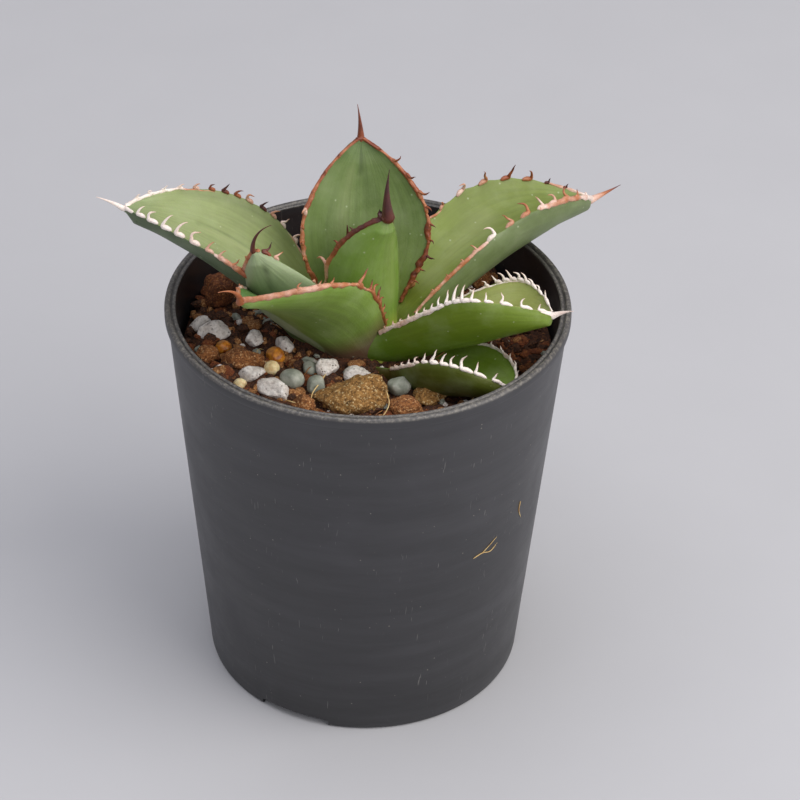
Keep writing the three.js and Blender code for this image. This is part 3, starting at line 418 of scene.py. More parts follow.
# Dry keratin-like horn of margin, teeth and spines: cream to maroon, ridged along, half gloss
def dry_horn(name, roughness):
    material, tree, shader, place = new_material(name)
    tone = attribute(tree, "tone")
    patches = noise_at(tree, 1.6, place, detail=4, rough=0.65)
    uneven = times(tree, calculate(tree, "SUBTRACT", patches, 0.5), 0.3)
    shifted = calculate(tree, "ADD", tone, uneven)
    horn = ramp(tree, shifted, [(0, "efe4dc"), (0.16, "e3cabd"), (0.32, "c99a84"), (0.46, "b0704a"),
                                (0.6, "8e4a2c"), (0.74, "5e2c22"), (0.9, "432022"), (1, "2c1517")])
    fine = noise_at(tree, 0.35, place, detail=3)
    horn = blend(tree, 0.6, horn, ramp(tree, fine, [(0.3, 0.72), (0.5, 1), (0.7, 1.12)]), "MULTIPLY")
    set_shader(tree, shader, fine, 0.12, 0.8, Base_Color=horn, Roughness=roughness, IOR=1.5)
    return material


# Injection-moulded black polypropylene: satin, with level flow lines, scratches, scuffs and dust, a painted
# highlight on the top of the rim, and painted shade that darkens it towards the foot
def moulded_polypropylene():
    material, tree, shader, place = new_material("moulded_black_polypropylene")
    axis = add_node(tree, "ShaderNodeMapping", Vector=place, Location=(-POT_X * MM, 0, 0)).outputs[0]
    level = add_node(tree, "ShaderNodeMapping", Vector=axis, Scale=(0.12, 0.12, 1)).outputs[0]
    flow = noise_at(tree, 5, level, detail=5, rough=0.6)
    cloud = noise_at(tree, 14, axis, detail=5, rough=0.62)
    slant = add_node(tree, "ShaderNodeMapping", Vector=axis, Rotation=(0.5, 0.35, 0.2),
                     Scale=(1, 1, 0.07)).outputs[0]
    scratch = noise_at(tree, 0.45, slant, detail=1)
    where = noise_at(tree, 9, axis, detail=2)
    scratches = times(
        tree,
        ramp(tree, scratch, [(0.7, 0), (0.74, 1)]),
        ramp(tree, where, [(0.52, 0), (0.64, 1)]),
    )
    dots = cells_at(tree, 2.3, axis)
    dust = times(
        tree,
        ramp(tree, dots, [(0.045, 1), (0.085, 0)]),
        ramp(tree, noise_at(tree, 5, axis), [(0.45, 0), (0.6, 1)]),
    )
    height = add_node(tree, "ShaderNodeSeparateXYZ", Vector=axis).outputs["Z"]
    share = calculate(tree, "DIVIDE", height, POT_HEIGHT * MM)
    # The top of the rim is painted lighter. This is partly real scuffs and dust, and partly a painted
    # highlight on the ridge tops.
    rim = ramp(tree, share, [(0.9925, 0), (0.997, 1)])
    crumbs = noise_at(tree, 0.8, axis, detail=5, rough=0.75)
    scuffs_and_painted_highlight = times(tree, rim, ramp(tree, crumbs, [(0.46, 0.12), (0.62, 0.6)]))
    black = ramp(tree, cloud, [(0.3, "18181c"), (0.55, "1f1f24"), (0.75, "2c2c31")])
    # Painted shade: the black is darkened towards the foot.
    black = blend(tree, ramp(tree, share, [(0.02, 0.9), (0.66, 0)]), black, "0d0d11")
    streaks = times(tree, ramp(tree, flow, [(0.4, 0), (0.7, 1)]), 0.3)
    for share_of_it, tint in ((streaks, "3d3d42"), (times(tree, scratches, 0.35), "8a8884"),
                              (times(tree, dust, 0.5), "a09a90"), (scuffs_and_painted_highlight, "8b857b")):
        black = blend(tree, share_of_it, black, tint)
    rough = ramp(tree, cloud, [(0.3, 0.37), (0.7, 0.52)])
    lines = calculate(tree, "ADD", flow, times(tree, scratches, -0.3))
    set_shader(tree, shader, lines, 0.25, 0.5, Base_Color=black, Roughness=rough, IOR=1.49,
               Specular_IOR_Level=0.85)
    return material


# Broken stone, baked clay or damp bark: dull and grainy in three shades, with open pores or pale grit
def stony_mix(name, dark, mid, light, grain_mm, depth_mm=0.35, pores=None, grit=None):
    material, tree, shader, place = new_material(name)
    coarse = noise_at(tree, grain_mm * 3, place, detail=5, rough=0.65)
    fine = noise_at(tree, grain_mm, place, detail=4, rough=0.7)
    body = ramp(tree, coarse, [(0.3, dark), (0.5, mid), (0.72, light)])
    body = blend(tree, 0.7, body, ramp(tree, fine, [(0.3, 0.62), (0.5, 1), (0.7, 1.2)]), "MULTIPLY")
    if grit:
        cells = cells_at(tree, grain_mm * 0.6, place, "Color")
        pick = add_node(tree, "ShaderNodeSeparateColor", Color=cells).outputs[0]
        specks = ramp(tree, pick, [(0, dark), (0.4, mid), (0.86, light), (0.98, grit)])
        body = blend(tree, 0.62, body, specks)
    height = calculate(tree, "ADD", coarse, times(tree, fine, 0.6))
    if pores:
        holes = cells_at(tree, pores, place)
        picked = ramp(tree, noise_at(tree, pores * 1.7, place), [(0.46, 0), (0.56, 1)])
        pits = times(tree, ramp(tree, holes, [(0.16, 1), (0.34, 0)]), picked)
        # The pits are painted darker: painted shade inside the open pores.
        body = blend(tree, times(tree, pits, 0.75), body, "6f5f56")
        height = calculate(tree, "SUBTRACT", height, pits)
    set_shader(tree, shader, height, depth_mm, 1, Base_Color=body, Roughness=0.92, IOR=1.5)
    return material


# Polymer-coated fertiliser bead: waxy, a little glassy, with worn darker spots
def coated_bead(name, dark, light, roughness, inner):
    material, tree, shader, place = new_material(name)
    worn = noise_at(tree, 1.1, place, detail=3)
    coat = ramp(tree, worn, [(0.35, dark), (0.6, light)])
    set_shader(tree, shader, noise_at(tree, 0.4, place), 0.1, 0.5, Base_Color=coat, Roughness=roughness,
               IOR=1.5, Subsurface_Weight=inner, Subsurface_Scale=0.0008)
    return material


# Water-worn zeolite pebble: smooth, dull green-grey with cloudy veins
def worn_zeolite():
    material, tree, shader, place = new_material("worn_green_grey_zeolite")
    clouds = noise_at(tree, 2.4, place, detail=5, rough=0.6)
    stone = ramp(tree, clouds, [(0.3, "6f7468"), (0.5, "8f9387"), (0.7, "b0b1a6")])
    set_shader(tree, shader, clouds, 0.15, 0.7, Base_Color=stone, Roughness=0.62, IOR=1.5)
    return material


# Plant fibre: thin, dry and silky, paler where it is thin
def dry_fibre(name, dark, light):
    material, tree, shader, place = new_material(name)
    tint = ramp(tree, noise_at(tree, 2, place, detail=2), [(0.35, dark), (0.65, light)])
    set_shader(tree, shader, noise_at(tree, 0.4, place), 0.06, 0.6, Base_Color=tint, Roughness=0.7, IOR=1.5)
    return material


# Shapes. A piece starts as a flat grid, is rolled or bent to its form, and then closed
def start_from(operator, name, **settings):
    bpy.ops.object.select_all(action="DESELECT")
    operator(**settings)
    piece = bpy.context.object
    piece.name = name
    piece.data.name = name
    return piece


def points_of(piece):
    points = np.zeros(len(piece.data.vertices) * 3)
    piece.data.vertices.foreach_get("co", points)
    return points.reshape(-1, 3)


def move_points(piece, points):
    piece.data.vertices.foreach_set("co", np.asarray(points, float).ravel())
    piece.data.update()


def move_to_mm(piece, points):
    """Moves the points to places in mm from the pot's axis."""
    move_points(piece, points * MM + np.array([POT_X * MM, 0, 0]))


def put_in_scene(name, data):
    item = bpy.data.objects.new(name, data)
    bpy.context.scene.collection.objects.link(item)
    return item


def polar(far, angle):
    return far * math.cos(angle), far * math.sin(angle)


def keep_values(piece, **values):
    """Numbers kept on the piece's points, for its material to read."""
    for name, numbers in values.items():
        layer = piece.data.attributes.new(name, "FLOAT", "POINT")
        layer.data.foreach_set("value", np.asarray(numbers, float).ravel())


def close_up(piece, merge_mm=0.002):
    """Merges the rolled seam, fills what is still open and turns the faces outwards."""
    bpy.context.view_layer.objects.active = piece
    bpy.ops.object.mode_set(mode="EDIT")
    bpy.ops.mesh.select_mode(type="VERT")
    bpy.ops.mesh.select_all(action="SELECT")
    bpy.ops.mesh.remove_doubles(threshold=merge_mm * MM)
    bpy.ops.mesh.select_all(action="DESELECT")
    bpy.ops.mesh.select_non_manifold(extend=False)
    bpy.ops.mesh.fill_holes(sides=0)
    bpy.ops.mesh.select_all(action="SELECT")
    bpy.ops.mesh.normals_make_consistent(inside=False)
    bpy.ops.object.mode_set(mode="OBJECT")
    bpy.ops.object.shade_smooth()


def rolled(name, around, along, form):
    """Closed tube-like piece: form(u, v) gives points in mm, and a dict of values to keep on them."""
    piece = start_from(bpy.ops.mesh.primitive_grid_add, name, x_subdivisions=around,
                       y_subdivisions=along, size=1)
    grid = points_of(piece)
    points, values = form(grid[:, 0] + 0.5, grid[:, 1] + 0.5)
    move_to_mm(piece, points)
    keep_values(piece, **values)
    close_up(piece)
    return piece


def joined(name, pieces):
    bpy.ops.object.select_all(action="DESELECT")
    for piece in pieces:
        piece.select_set(True)
    bpy.context.view_layer.objects.active = pieces[0]
    bpy.ops.object.join()
    whole = bpy.context.object
    whole.name = name
    whole.data.name = name
    return whole


def finish_piece(piece, material, slot, *nodes):
    """Gives the piece its material, lets it ride with the plant and hides the CAD nodes it stands for."""
    piece.data.materials.clear()
    piece.data.materials.append(material)
    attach(piece, "root")
    if nodes:
        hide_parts(*nodes)
    return piece


def roughness_of(points, size_mm, seed):
    """Soft noise from -1 to 1 at each point, with lumps about size_mm across."""
    shift = Vector((seed * 7.31, seed * 3.17, seed * 5.53))
    return np.array([noise.noise(Vector(p) / size_mm + shift) for p in points])


def roughness_along(spots, size_mm, seed):
    """The same along a line, from each spot's distance in mm."""
    return roughness_of(np.stack([spots, 0 * spots, 0 * spots], -1), size_mm, seed)


# Leaf forms
def leaf_directions(leaf, place):
    """Unit directions along the leaf, to its left and up out of its face."""
    t = np.clip(place, 0, 1)
    heading = np.radians(leaf["heading"] + leaf["bend"] * t)
    rise = np.radians(leaf["rise"][0] + (leaf["rise"][1] - leaf["rise"][0]) * t)
    along = np.stack([np.cos(heading) * np.cos(rise), np.sin(heading) * np.cos(rise), np.sin(rise)], -1)
    level = np.stack([-np.sin(heading), np.cos(heading), 0 * heading], -1)
    out = np.cross(along, level)
    tip = np.radians(leaf["roll"] + leaf["twist"] * t)[..., None]
    return along, level * np.cos(tip) + out * np.sin(tip), out * np.cos(tip) - level * np.sin(tip)


def midrib(leaf, place):
    steps = np.linspace(0, 1, 201)
    pace = leaf_directions(leaf, (steps[1:] + steps[:-1]) / 2)[0] * leaf["length"] / 200
    line = np.vstack([np.zeros(3), np.cumsum(pace, axis=0)]) + np.array(leaf["foot"], float)
    inside = np.clip(place, 0, 1)
    point = np.stack([np.interp(inside, steps, line[:, k]) for k in range(3)], -1)
    beyond = (np.asarray(place) - inside)[..., None] * leaf["length"]
    return point + leaf_directions(leaf, inside)[0] * beyond


def half_width(leaf, place):
    t = np.clip(place, 0, 1)
    swell = np.sin(np.pi / 2 * np.clip(t / leaf["widest"], 0, 1)) ** 1.3
    low = leaf["foot_width"] + (1 - leaf["foot_width"]) * swell
    u = np.clip((t - leaf["widest"]) / (1 - leaf["widest"]), 0, 1)
    return leaf["half_width"] * np.where(t < leaf["widest"], low, (1 - u * u) ** leaf["fullness"])


def blade_thickness(leaf, place, side):
    t = np.clip(place, 0, 1)
    return leaf["thickness"] * (1 - 0.62 * t ** 1.2) * (1 - np.abs(side) ** 2.4) * 0.92 + 2 * MARGIN_HALF


def on_leaf(leaf, place, across, height):
    """Point at a place along the leaf, mm across to the left and mm above the upper face."""
    _, left, up = leaf_directions(leaf, place)
    width = np.maximum(half_width(leaf, place), 0.4)
    curl = leaf["curl"] * (0.75 + 0.25 * np.sin(np.pi * np.clip(place, 0, 1)))
    radius = width / curl
    angle = across / radius
    out_left = (radius - height) * np.sin(angle)
    out_up = radius * (1 - np.cos(angle)) + height * np.cos(angle)
    return midrib(leaf, place) + left * out_left[..., None] + up * out_up[..., None]


def edge_width(leaf, side, place):
    """Width of the horny band at a place along one margin."""
    stops = leaf["left_edge"] if side > 0 else leaf["right_edge"]
    return np.interp(place, [stop[0] for stop in stops], [stop[1] for stop in stops])


def teat(leaf, place, side):
    """How far the margin swells out under each tooth."""
    swell = np.zeros_like(place)
    for teeth, this_side in ((leaf["left"], 1), (leaf["right"], -1)):
        for at, length, *_ in teeth:
            near = np.exp(-(((place - at) * leaf["length"]) / (0.8 + 0.25 * length)) ** 2)
            swell = swell + np.where(side * this_side > 0, near * 0.11 * length, 0)
    return swell


def green_end(leaf):
    """Where the blade is down to half a millimetre each side, just short of its spine."""
    u = math.sqrt(1 - (0.5 / leaf["half_width"]) ** (1 / leaf["fullness"]))
    return leaf["widest"] + (1 - leaf["widest"]) * u


def marks_and_painted_shade(leaf, place, side, below):
    """Darker and lighter marks: prints that the leaves left on one another while they were folded up, and
    painted shade and painted light along folds and creases.
    """
    shade = np.zeros_like(place)
    scale = np.array([leaf["length"], leaf["half_width"]])
    for face, start, end, width, amount in leaf.get("marks", []):
        a, b = np.array(start) * scale, np.array(end) * scale
        point = np.stack([place, side], -1) * scale
        share = np.clip((point - a) @ (b - a) / ((b - a) @ (b - a)), 0, 1)
        away = np.linalg.norm(point - a - share[:, None] * (b - a), axis=1)
        shade += amount * np.exp(-(away / width) ** 2) * (below == face)
    return shade


def leaf_blade(name, leaf):
    start, end = -BURIED_LENGTH / leaf["length"], green_end(leaf)

    def form(u, v):
        place = start + (end - start) * (1 - (1 - v) ** 1.15)
        side = np.cos(2 * np.pi * u)
        under = (u > 0.5).astype(float)
        width = half_width(leaf, place)
        band = np.where(side > 0, edge_width(leaf, 1, place), edge_width(leaf, -1, place))
        inset = np.minimum(band * 0.4, MARGIN_HALF)
        reach = np.maximum(width - inset, 0.3) + teat(leaf, place, side) * np.abs(side) ** 12
        edge = np.clip(1 - np.abs(side) ** 14, 0, 1) ** 0.5
        thin = np.clip(width / NARROW_TIP, 0.3, 1)
        thick = (blade_thickness(leaf, place, np.abs(side)) - 2 * MARGIN_HALF) * thin
        spots = np.stack([place * leaf["length"] / 9, side * width / 6, under], -1)
        dent = 0.22 * (1 + roughness_of(spots, 1, leaf["heading"]))
        height = np.where(under > 0, -thick - MARGIN_HALF - MARGIN_HALF * edge,
                          -MARGIN_HALF + MARGIN_HALF * edge) - dent * edge * thin
        shade = marks_and_painted_shade(leaf, place, side, under)
        points = on_leaf(leaf, place, side * reach, height)
        return points, dict(place=place, side=side, under=under, shade=shade)

    blade = rolled(f"{name}_blade", 104, 120, form)
    skin = agave_skin(f"agave_skin_of_{name}", half_width=leaf["half_width"], length=leaf["length"],
                      **leaf["colours"])
    return finish_piece(blade, skin, "leaf_flesh", name)


def margin_band(leaf, side, seed):
    stops = leaf["left_edge"] if side > 0 else leaf["right_edge"]
    start, end = 0.03, green_end(leaf) + 0.1 / leaf["length"]

    def form(u, v):
        place = start + (end - start) * v
        turn = 2 * np.pi * u
        spot = place * leaf["length"]
        ripple = roughness_along(spot, 1.3, seed)
        wide = edge_width(leaf, side, place)
        show = np.clip((wide - 0.1) / 0.25, 0, 1)
        coarse = roughness_along(spot, 3.1, seed + 4)
        band = wide * np.clip(1 + 0.55 * ripple + 0.6 * coarse, 0.25, 1.7)
        lump = 1 + 0.35 * roughness_of(np.stack([spot, np.cos(turn), np.sin(turn)], -1), 0.7, seed + 9)
        width = half_width(leaf, place) + teat(leaf, place, np.full_like(place, side))
        middle = np.maximum(width + 0.12 * show - band / 2 - 0.9 * (1 - show), 0.1)
        half_band = (band / 2 + 0.12 * show) * lump + 0.04
        half_height = np.minimum(0.2 + 0.4 * band, 0.6) * lump * show + 0.04
        tone = np.interp(place, [stop[0] for stop in stops], [stop[2] for stop in stops])
        return on_leaf(leaf, place, side * (middle + half_band * np.cos(turn)),
                       -0.42 + half_height * np.sin(turn)), dict(tone=tone + 0.12 * ripple + 0.14 * coarse)

    return rolled("band", 14, int(leaf["length"] * 4), form)


def smooth_path(corners, count):
    """Points on a rounded path through the corners."""
    corners = np.array(corners, float)
    padded = np.vstack([2 * corners[0] - corners[1], corners, 2 * corners[-1] - corners[-2]])
    spans = len(corners) - 1
    out = []
    for s in np.linspace(0, spans, count):
        i = min(int(s), spans - 1)
        t = s - i
        a, b, c, d = padded[i:i + 4]
        out.append(0.5 * (2 * b + (c - a) * t + (2 * a - 5 * b + 4 * c - d) * t * t
                          + (3 * b - 3 * c + d - a) * t ** 3))
    return np.array(out)


def tube(name, path, radii, sides, across, tones, flat=1.0):
    """Closed tapering tube along a path, with a radius and a tone at each of its points."""
    ahead = np.gradient(path, axis=0)
    ahead /= np.linalg.norm(ahead, axis=1)[:, None]
    first = across - ahead * (ahead @ across)[:, None]
    first /= np.linalg.norm(first, axis=1)[:, None]
    second = np.cross(ahead, first)
    share = np.linspace(0, 1, len(path))

    def form(u, v):
        def at(numbers):
            return np.stack([np.interp(v, share, numbers[:, k]) for k in range(numbers.shape[1])], -1)

        turn = 2 * np.pi * u
        size = np.interp(v, share, radii)[:, None]
        ring = at(first) * np.cos(turn)[:, None] + at(second) * np.sin(turn)[:, None] * flat
        return at(path) + ring * size, dict(tone=np.interp(v, share, tones))

    return rolled(name, sides, len(path) - 1, form)


def hooked_tooth(leaf, side, tooth, seed):
    place, length, tone, curl = tooth
    draw = random.Random(seed)
    along = leaf_directions(leaf, np.array(place))[0]

    def margin(at, inward, height):
        at = np.array(at)
        reach = half_width(leaf, at) + teat(leaf, at[None], np.array([side]))[0] - inward
        return on_leaf(leaf, at, np.array(side * reach), np.array(height))

    edge = margin(place, 0, -0.35)
    out = edge - margin(place, 0.5, -0.35)
    out /= np.linalg.norm(out)
    up = edge - margin(place, 0, -1.35)
    flare = math.radians(leaf["flare"])
    rise = out * math.cos(flare) + up * math.sin(flare)
    back = along * leaf["tail"]
    toe = place + leaf["tail"] * np.clip(length * 0.45, 0.9, 2) / leaf["length"]
    point = edge + rise * 0.1
    corners = [margin(toe, 0.3, -0.3), margin((place + toe) / 2, 0.05, -0.15), point.copy()]
    steps = 5
    kink = draw.uniform(-36, 36)
    length = length * draw.uniform(0.9, 1.22)
    for i in range(steps):
        share = (i + 0.5) / steps
        angle = math.radians(90 + curl * (20 - 85 * share) + kink * math.sin(2 * math.pi * share))
        point = point + (rise * math.sin(angle) + back * math.cos(angle)) * length * TOOTH_REACH / steps
        corners.append(point.copy())
    size = np.clip(0.22 + length * 0.06, 0.3, 0.54)
    path = smooth_path(corners, TOOTH_RINGS)
    share = np.linspace(0, 1, TOOTH_RINGS)
    radii = size * np.interp(share, [0, 0.05, 0.16, 0.3, 0.45, 0.75, 1],
                             [0.3, 0.85, 1.1, 0.95, 0.66, 0.42, 0.08])
    radii = radii * (1 + 0.14 * roughness_along(share * 8, 1, seed))
    tones = np.interp(share, [0, 0.3, 0.6, 1], [tone * 0.8, tone, tone, min(tone + 0.2, 1)])
    return tube("tooth", path, radii, 8, out, tones)


def tip_spine(leaf):
    """The spine, which swells out of the end of the blade and tapers to its point."""
    start = green_end(leaf) - 1.6 / leaf["length"]
    places = np.linspace(start, 1, 12)
    _, _, up = leaf_directions(leaf, places)
    share = np.linspace(0, 1, 12)
    width = half_width(leaf, places)
    thick = blade_thickness(leaf, places, 0) * np.clip(width / NARROW_TIP, 0.35, 1)
    path = midrib(leaf, places) - up * (thick / 2 * (1 - share) + 0.8 * share)[:, None]
    radius = leaf["spine_radius"]
    swell = 0.35 * (1 - share) ** 2 + radius * (1 - (1 - share) ** 2)
    along, left, up = leaf_directions(leaf, np.array(1.0))
    steps = SPINE_RINGS
    point = path[-1].copy()
    line, radii = [*path], [*swell]
    for i in range(1, steps + 1):
        at = (i - 0.5) / steps
        lift, lean = (math.radians(turn[0] * (1 - at) + turn[1] * at)
                      for turn in (leaf["spine_lift"], leaf["spine_lean"]))
        ahead = (along * math.cos(lift) * math.cos(lean) + up * math.sin(lift) * math.cos(lean)
                 + left * math.sin(lean))
        point = point + ahead * leaf["spine"] / steps
        line.append(point)
        radii.append(radius * (1 - i / steps) ** 1.35 * 0.9 + 0.06)
    tones = np.interp(np.linspace(0, 1, len(line)), [0, 0.45, 1], leaf["spine_tones"])
    return tube("spine", np.array(line), np.array(radii), 20, left, tones)


def leaf_horn(name, leaf, seed, horn, slot):
    parts = [margin_band(leaf, 1, seed), margin_band(leaf, -1, seed + 1), tip_spine(leaf)]
    for side, teeth in ((1, leaf["left"]), (-1, leaf["right"])):
        parts += [hooked_tooth(leaf, side, tooth, seed * 100 + i) for i, tooth in enumerate(teeth)]
    return finish_piece(joined(f"{name}_toothed_margin", parts), horn, slot, f"{name}_horn")


# Soil and stones
def seeded(seed):
    """Endless even draws from 0 to 1, the same ones as the CAD's."""
    state = seed & 0xFFFFFFFF
    while True:
        state = (state * 1664525 + 1013904223) & 0xFFFFFFFF
        yield state / 4294967296


def soil_lumps():
    draw = seeded(11)
    lumps = []
    for _ in range(150):
        far = 42 * math.sqrt(next(draw))
        angle = next(draw) * math.pi * 2
        lumps.append((*polar(far, angle), 2.6 + 2 * next(draw), 0.5 + 1.2 * next(draw)))
    return lumps


SOIL_LUMPS = soil_lumps()


def soil_height(x, y):
    x, y = np.asarray(x, float), np.asarray(y, float)
    lumps = np.zeros_like(x)
    for cx, cy, size, tall in SOIL_LUMPS:
        near = np.clip(1 - ((x - cx) ** 2 + (y - cy) ** 2) / size ** 2, 0, 1)
        lumps = np.maximum(lumps, tall * np.sqrt(near))
    return SOIL_LEVEL - 1.2 + lumps - 0.0009 * (x * x + y * y) - 0.03 * x


def outer_radius(z):
    return FOOT_RADIUS + (RIM_RADIUS - LIP_PROUD - FOOT_RADIUS) * z / POT_HEIGHT


def soil_body():
    bottom = BASE_RAISE + BASE_THICKNESS + GAP
    low = outer_radius(bottom) - WALL - GAP

    def form(u, v):
        turn = 2 * np.pi * u
        far = SOIL_EDGE * np.clip(v / 0.9, 0, 1)
        x, y = far * np.cos(turn), far * np.sin(turn)
        top = soil_height(x, y)
        crumbs = roughness_of(np.stack([x, y, top], -1), 1.1, 3) * 0.5
        crumbs = crumbs + roughness_of(np.stack([x, y, top], -1), 2.6, 4) * 0.6
        fade = np.clip((SOIL_EDGE - far) / 3, 0, 1)
        z = (top + crumbs) * fade + (SOIL_LEVEL - 2.4) * (1 - fade)
        below = np.clip((v - 0.9) / 0.05, 0, 1)
        inward = np.clip((v - 0.95) / 0.05, 0, 1)
        radius = far + (low - SOIL_EDGE) * below
        radius = radius * (1 - inward)
        z = z + (bottom - (SOIL_LEVEL - 2.4)) * below
        return np.stack([radius * np.cos(turn), radius * np.sin(turn), z], -1), {}

    return rolled("crumbly_soil", 260, 110, form)


def broken_faces(directions, count, seed, nearest, softness=0.06):
    """Reach of a lump in each direction, cut by flat faces that lie at least nearest from its middle."""
    draw = random.Random(seed)
    reach = np.full(len(directions), 1.12)
    for _ in range(count):
        face = Vector([draw.gauss(0, 1) for _ in range(3)]).normalized()
        facing = np.clip(directions @ np.array(face), 0.05, None)
        cut = draw.uniform(nearest, 1) / facing
        reach = -softness * np.log(np.exp(-reach / softness) + np.exp(-cut / softness))
    return reach


def stone_form(stone, index, directions):
    kind, x, y, length, width, height, turn = stone
    faces, nearest, crumb = STONE_FORMS[kind]
    size = 1.04 * broken_faces(directions, faces, index * 31 + 7, nearest)
    for k, share in ((0.8, 1), (0.35, 0.7), (0.15, 0.5)):
        size += crumb * share * roughness_of(directions, k, index + 50 * k)
    points = directions * size[:, None] * np.array([length / 2, width / 2, height / 2])
    a = math.radians(turn)
    turned = np.stack([points[:, 0] * math.cos(a) - points[:, 1] * math.sin(a),
                       points[:, 0] * math.sin(a) + points[:, 1] * math.cos(a), points[:, 2]], -1)
    return turned + np.array([x, y, float(soil_height(x, y)) + height * 0.22])


def loose_stone(stone, index, name, material):
    piece = start_from(bpy.ops.mesh.primitive_ico_sphere_add, f"{name}_stone", subdivisions=5, radius=1)
    move_to_mm(piece, stone_form(stone, index, points_of(piece)))
    bpy.ops.object.shade_smooth()
    return finish_piece(piece, material, stone[0], name)


def crumb_templates(flat, seed):
    """Four broken grains of 80 faces, flattened by flat."""
    grains = []
    for i in range(4):
        grain = start_from(bpy.ops.mesh.primitive_ico_sphere_add, "crumb", subdivisions=2, radius=1)
        points = points_of(grain)
        reach = broken_faces(points, 9, seed * 10 + i, 0.5, 0.03)
        reach = reach * (1 + 0.3 * roughness_of(points, 0.7, seed + i))
        move_points(grain, points * reach[:, None] * np.array([1.15, 0.85, flat]))
        grains.append(grain)
    return grains


def scatter(name, templates, spots):
    """Copies of the grains, each with its own mesh, size, turn and place, joined into one piece."""
    copies = []
    for i, (x, y, z, size, turn) in enumerate(spots):
        mesh = templates[i % len(templates)].data.copy()
        copies.append(put_in_scene(name, mesh))
        place = Matrix.Translation(Vector((x + POT_X, y, z)) * MM)
        mesh.transform(place @ turn.to_4x4() @ Matrix.Diagonal((size * MM, size * MM, size * MM, 1)))
    for template in templates:
        bpy.data.objects.remove(template)
    return joined(name, copies)


def leaf_samples():
    u, v = np.meshgrid(np.linspace(-1, 1, 9), np.linspace(0, 0.95, 24))
    clouds = []
    for leaf in LEAVES.values():
        place, side = v.ravel(), u.ravel()
        across = side * half_width(leaf, place)
        clouds.append(on_leaf(leaf, place, across, -blade_thickness(leaf, place, side)))
        clouds.append(on_leaf(leaf, place, across, -0.5 * blade_thickness(leaf, place, side)))
    return np.vstack(clouds)


LEAF_POINTS = leaf_samples()


def free_spots(count, sizes, seed, region, lift=0.15):
    """Places on the soil for grains, clear of stones, stem and leaves."""
    draw = random.Random(seed)
    spots = []
    tries = 0
    while len(spots) < count and tries < count * 30:
        tries += 1
        far, angle = 40.6 * math.sqrt(draw.random()), draw.random() * 2 * math.pi
        x, y = polar(far, angle)
        size = draw.uniform(*sizes) / 2
        if far < BARE_STEM or not region(x, y, draw):
            continue
        if any(math.hypot(x - s[1], y - s[2]) < (s[3] + s[4]) / 4 * 0.85 + size * 0.3 for s in STONES):
            continue
        z = float(soil_height(x, y)) + size * lift
        if np.min(np.sum((LEAF_POINTS - (x, y, z)) ** 2, axis=1)) < (size + 1) ** 2:
            continue
        spin = Matrix.Rotation(draw.uniform(0, 6.3), 3, "Z")
        spots.append((x, y, z, size, spin @ Matrix.Rotation(draw.uniform(-0.6, 0.6), 3, "X")))
    return spots


def fibre(name, points, radius, tone=0.3):
    path = smooth_path(points, 8 * len(points))
    radii = radius * np.interp(np.linspace(0, 1, len(path)), [0, 0.1, 0.8, 1], [0.4, 1, 0.8, 0.2])
    return tube(name, path, radii, 6, np.array([0.3, 0.2, 1.0]), np.full(len(path), tone))


def curly_fibre(draw, x, y, length, rise):
    """A thread that lies over the soil in a loose curve."""
    heading = draw.uniform(0, 2 * math.pi)
    points = []
    for i in range(6):
        height = float(soil_height(x, y)) + 0.3 + rise * math.sin(math.pi * i / 5)
        points.append((x, y, height))
        heading += draw.uniform(-0.8, 0.8)
        x += math.cos(heading) * length / 5
        y += math.sin(heading) * length / 5
        if math.hypot(x, y) > 39.5:
            heading += math.pi / 2
            x, y = x * 39 / math.hypot(x, y), y * 39 / math.hypot(x, y)
    return points


# Pot
def raise_ring(radius, z, last):
    """Pulls the open ring to its next radius and height."""
    bpy.ops.mesh.extrude_region_move(TRANSFORM_OT_translate={"value": (0, 0, (z - last[1]) * MM)})
    share = radius / last[0]
    bpy.ops.transform.resize(value=(share, share, 1), center_override=(POT_X * MM, 0, z * MM))


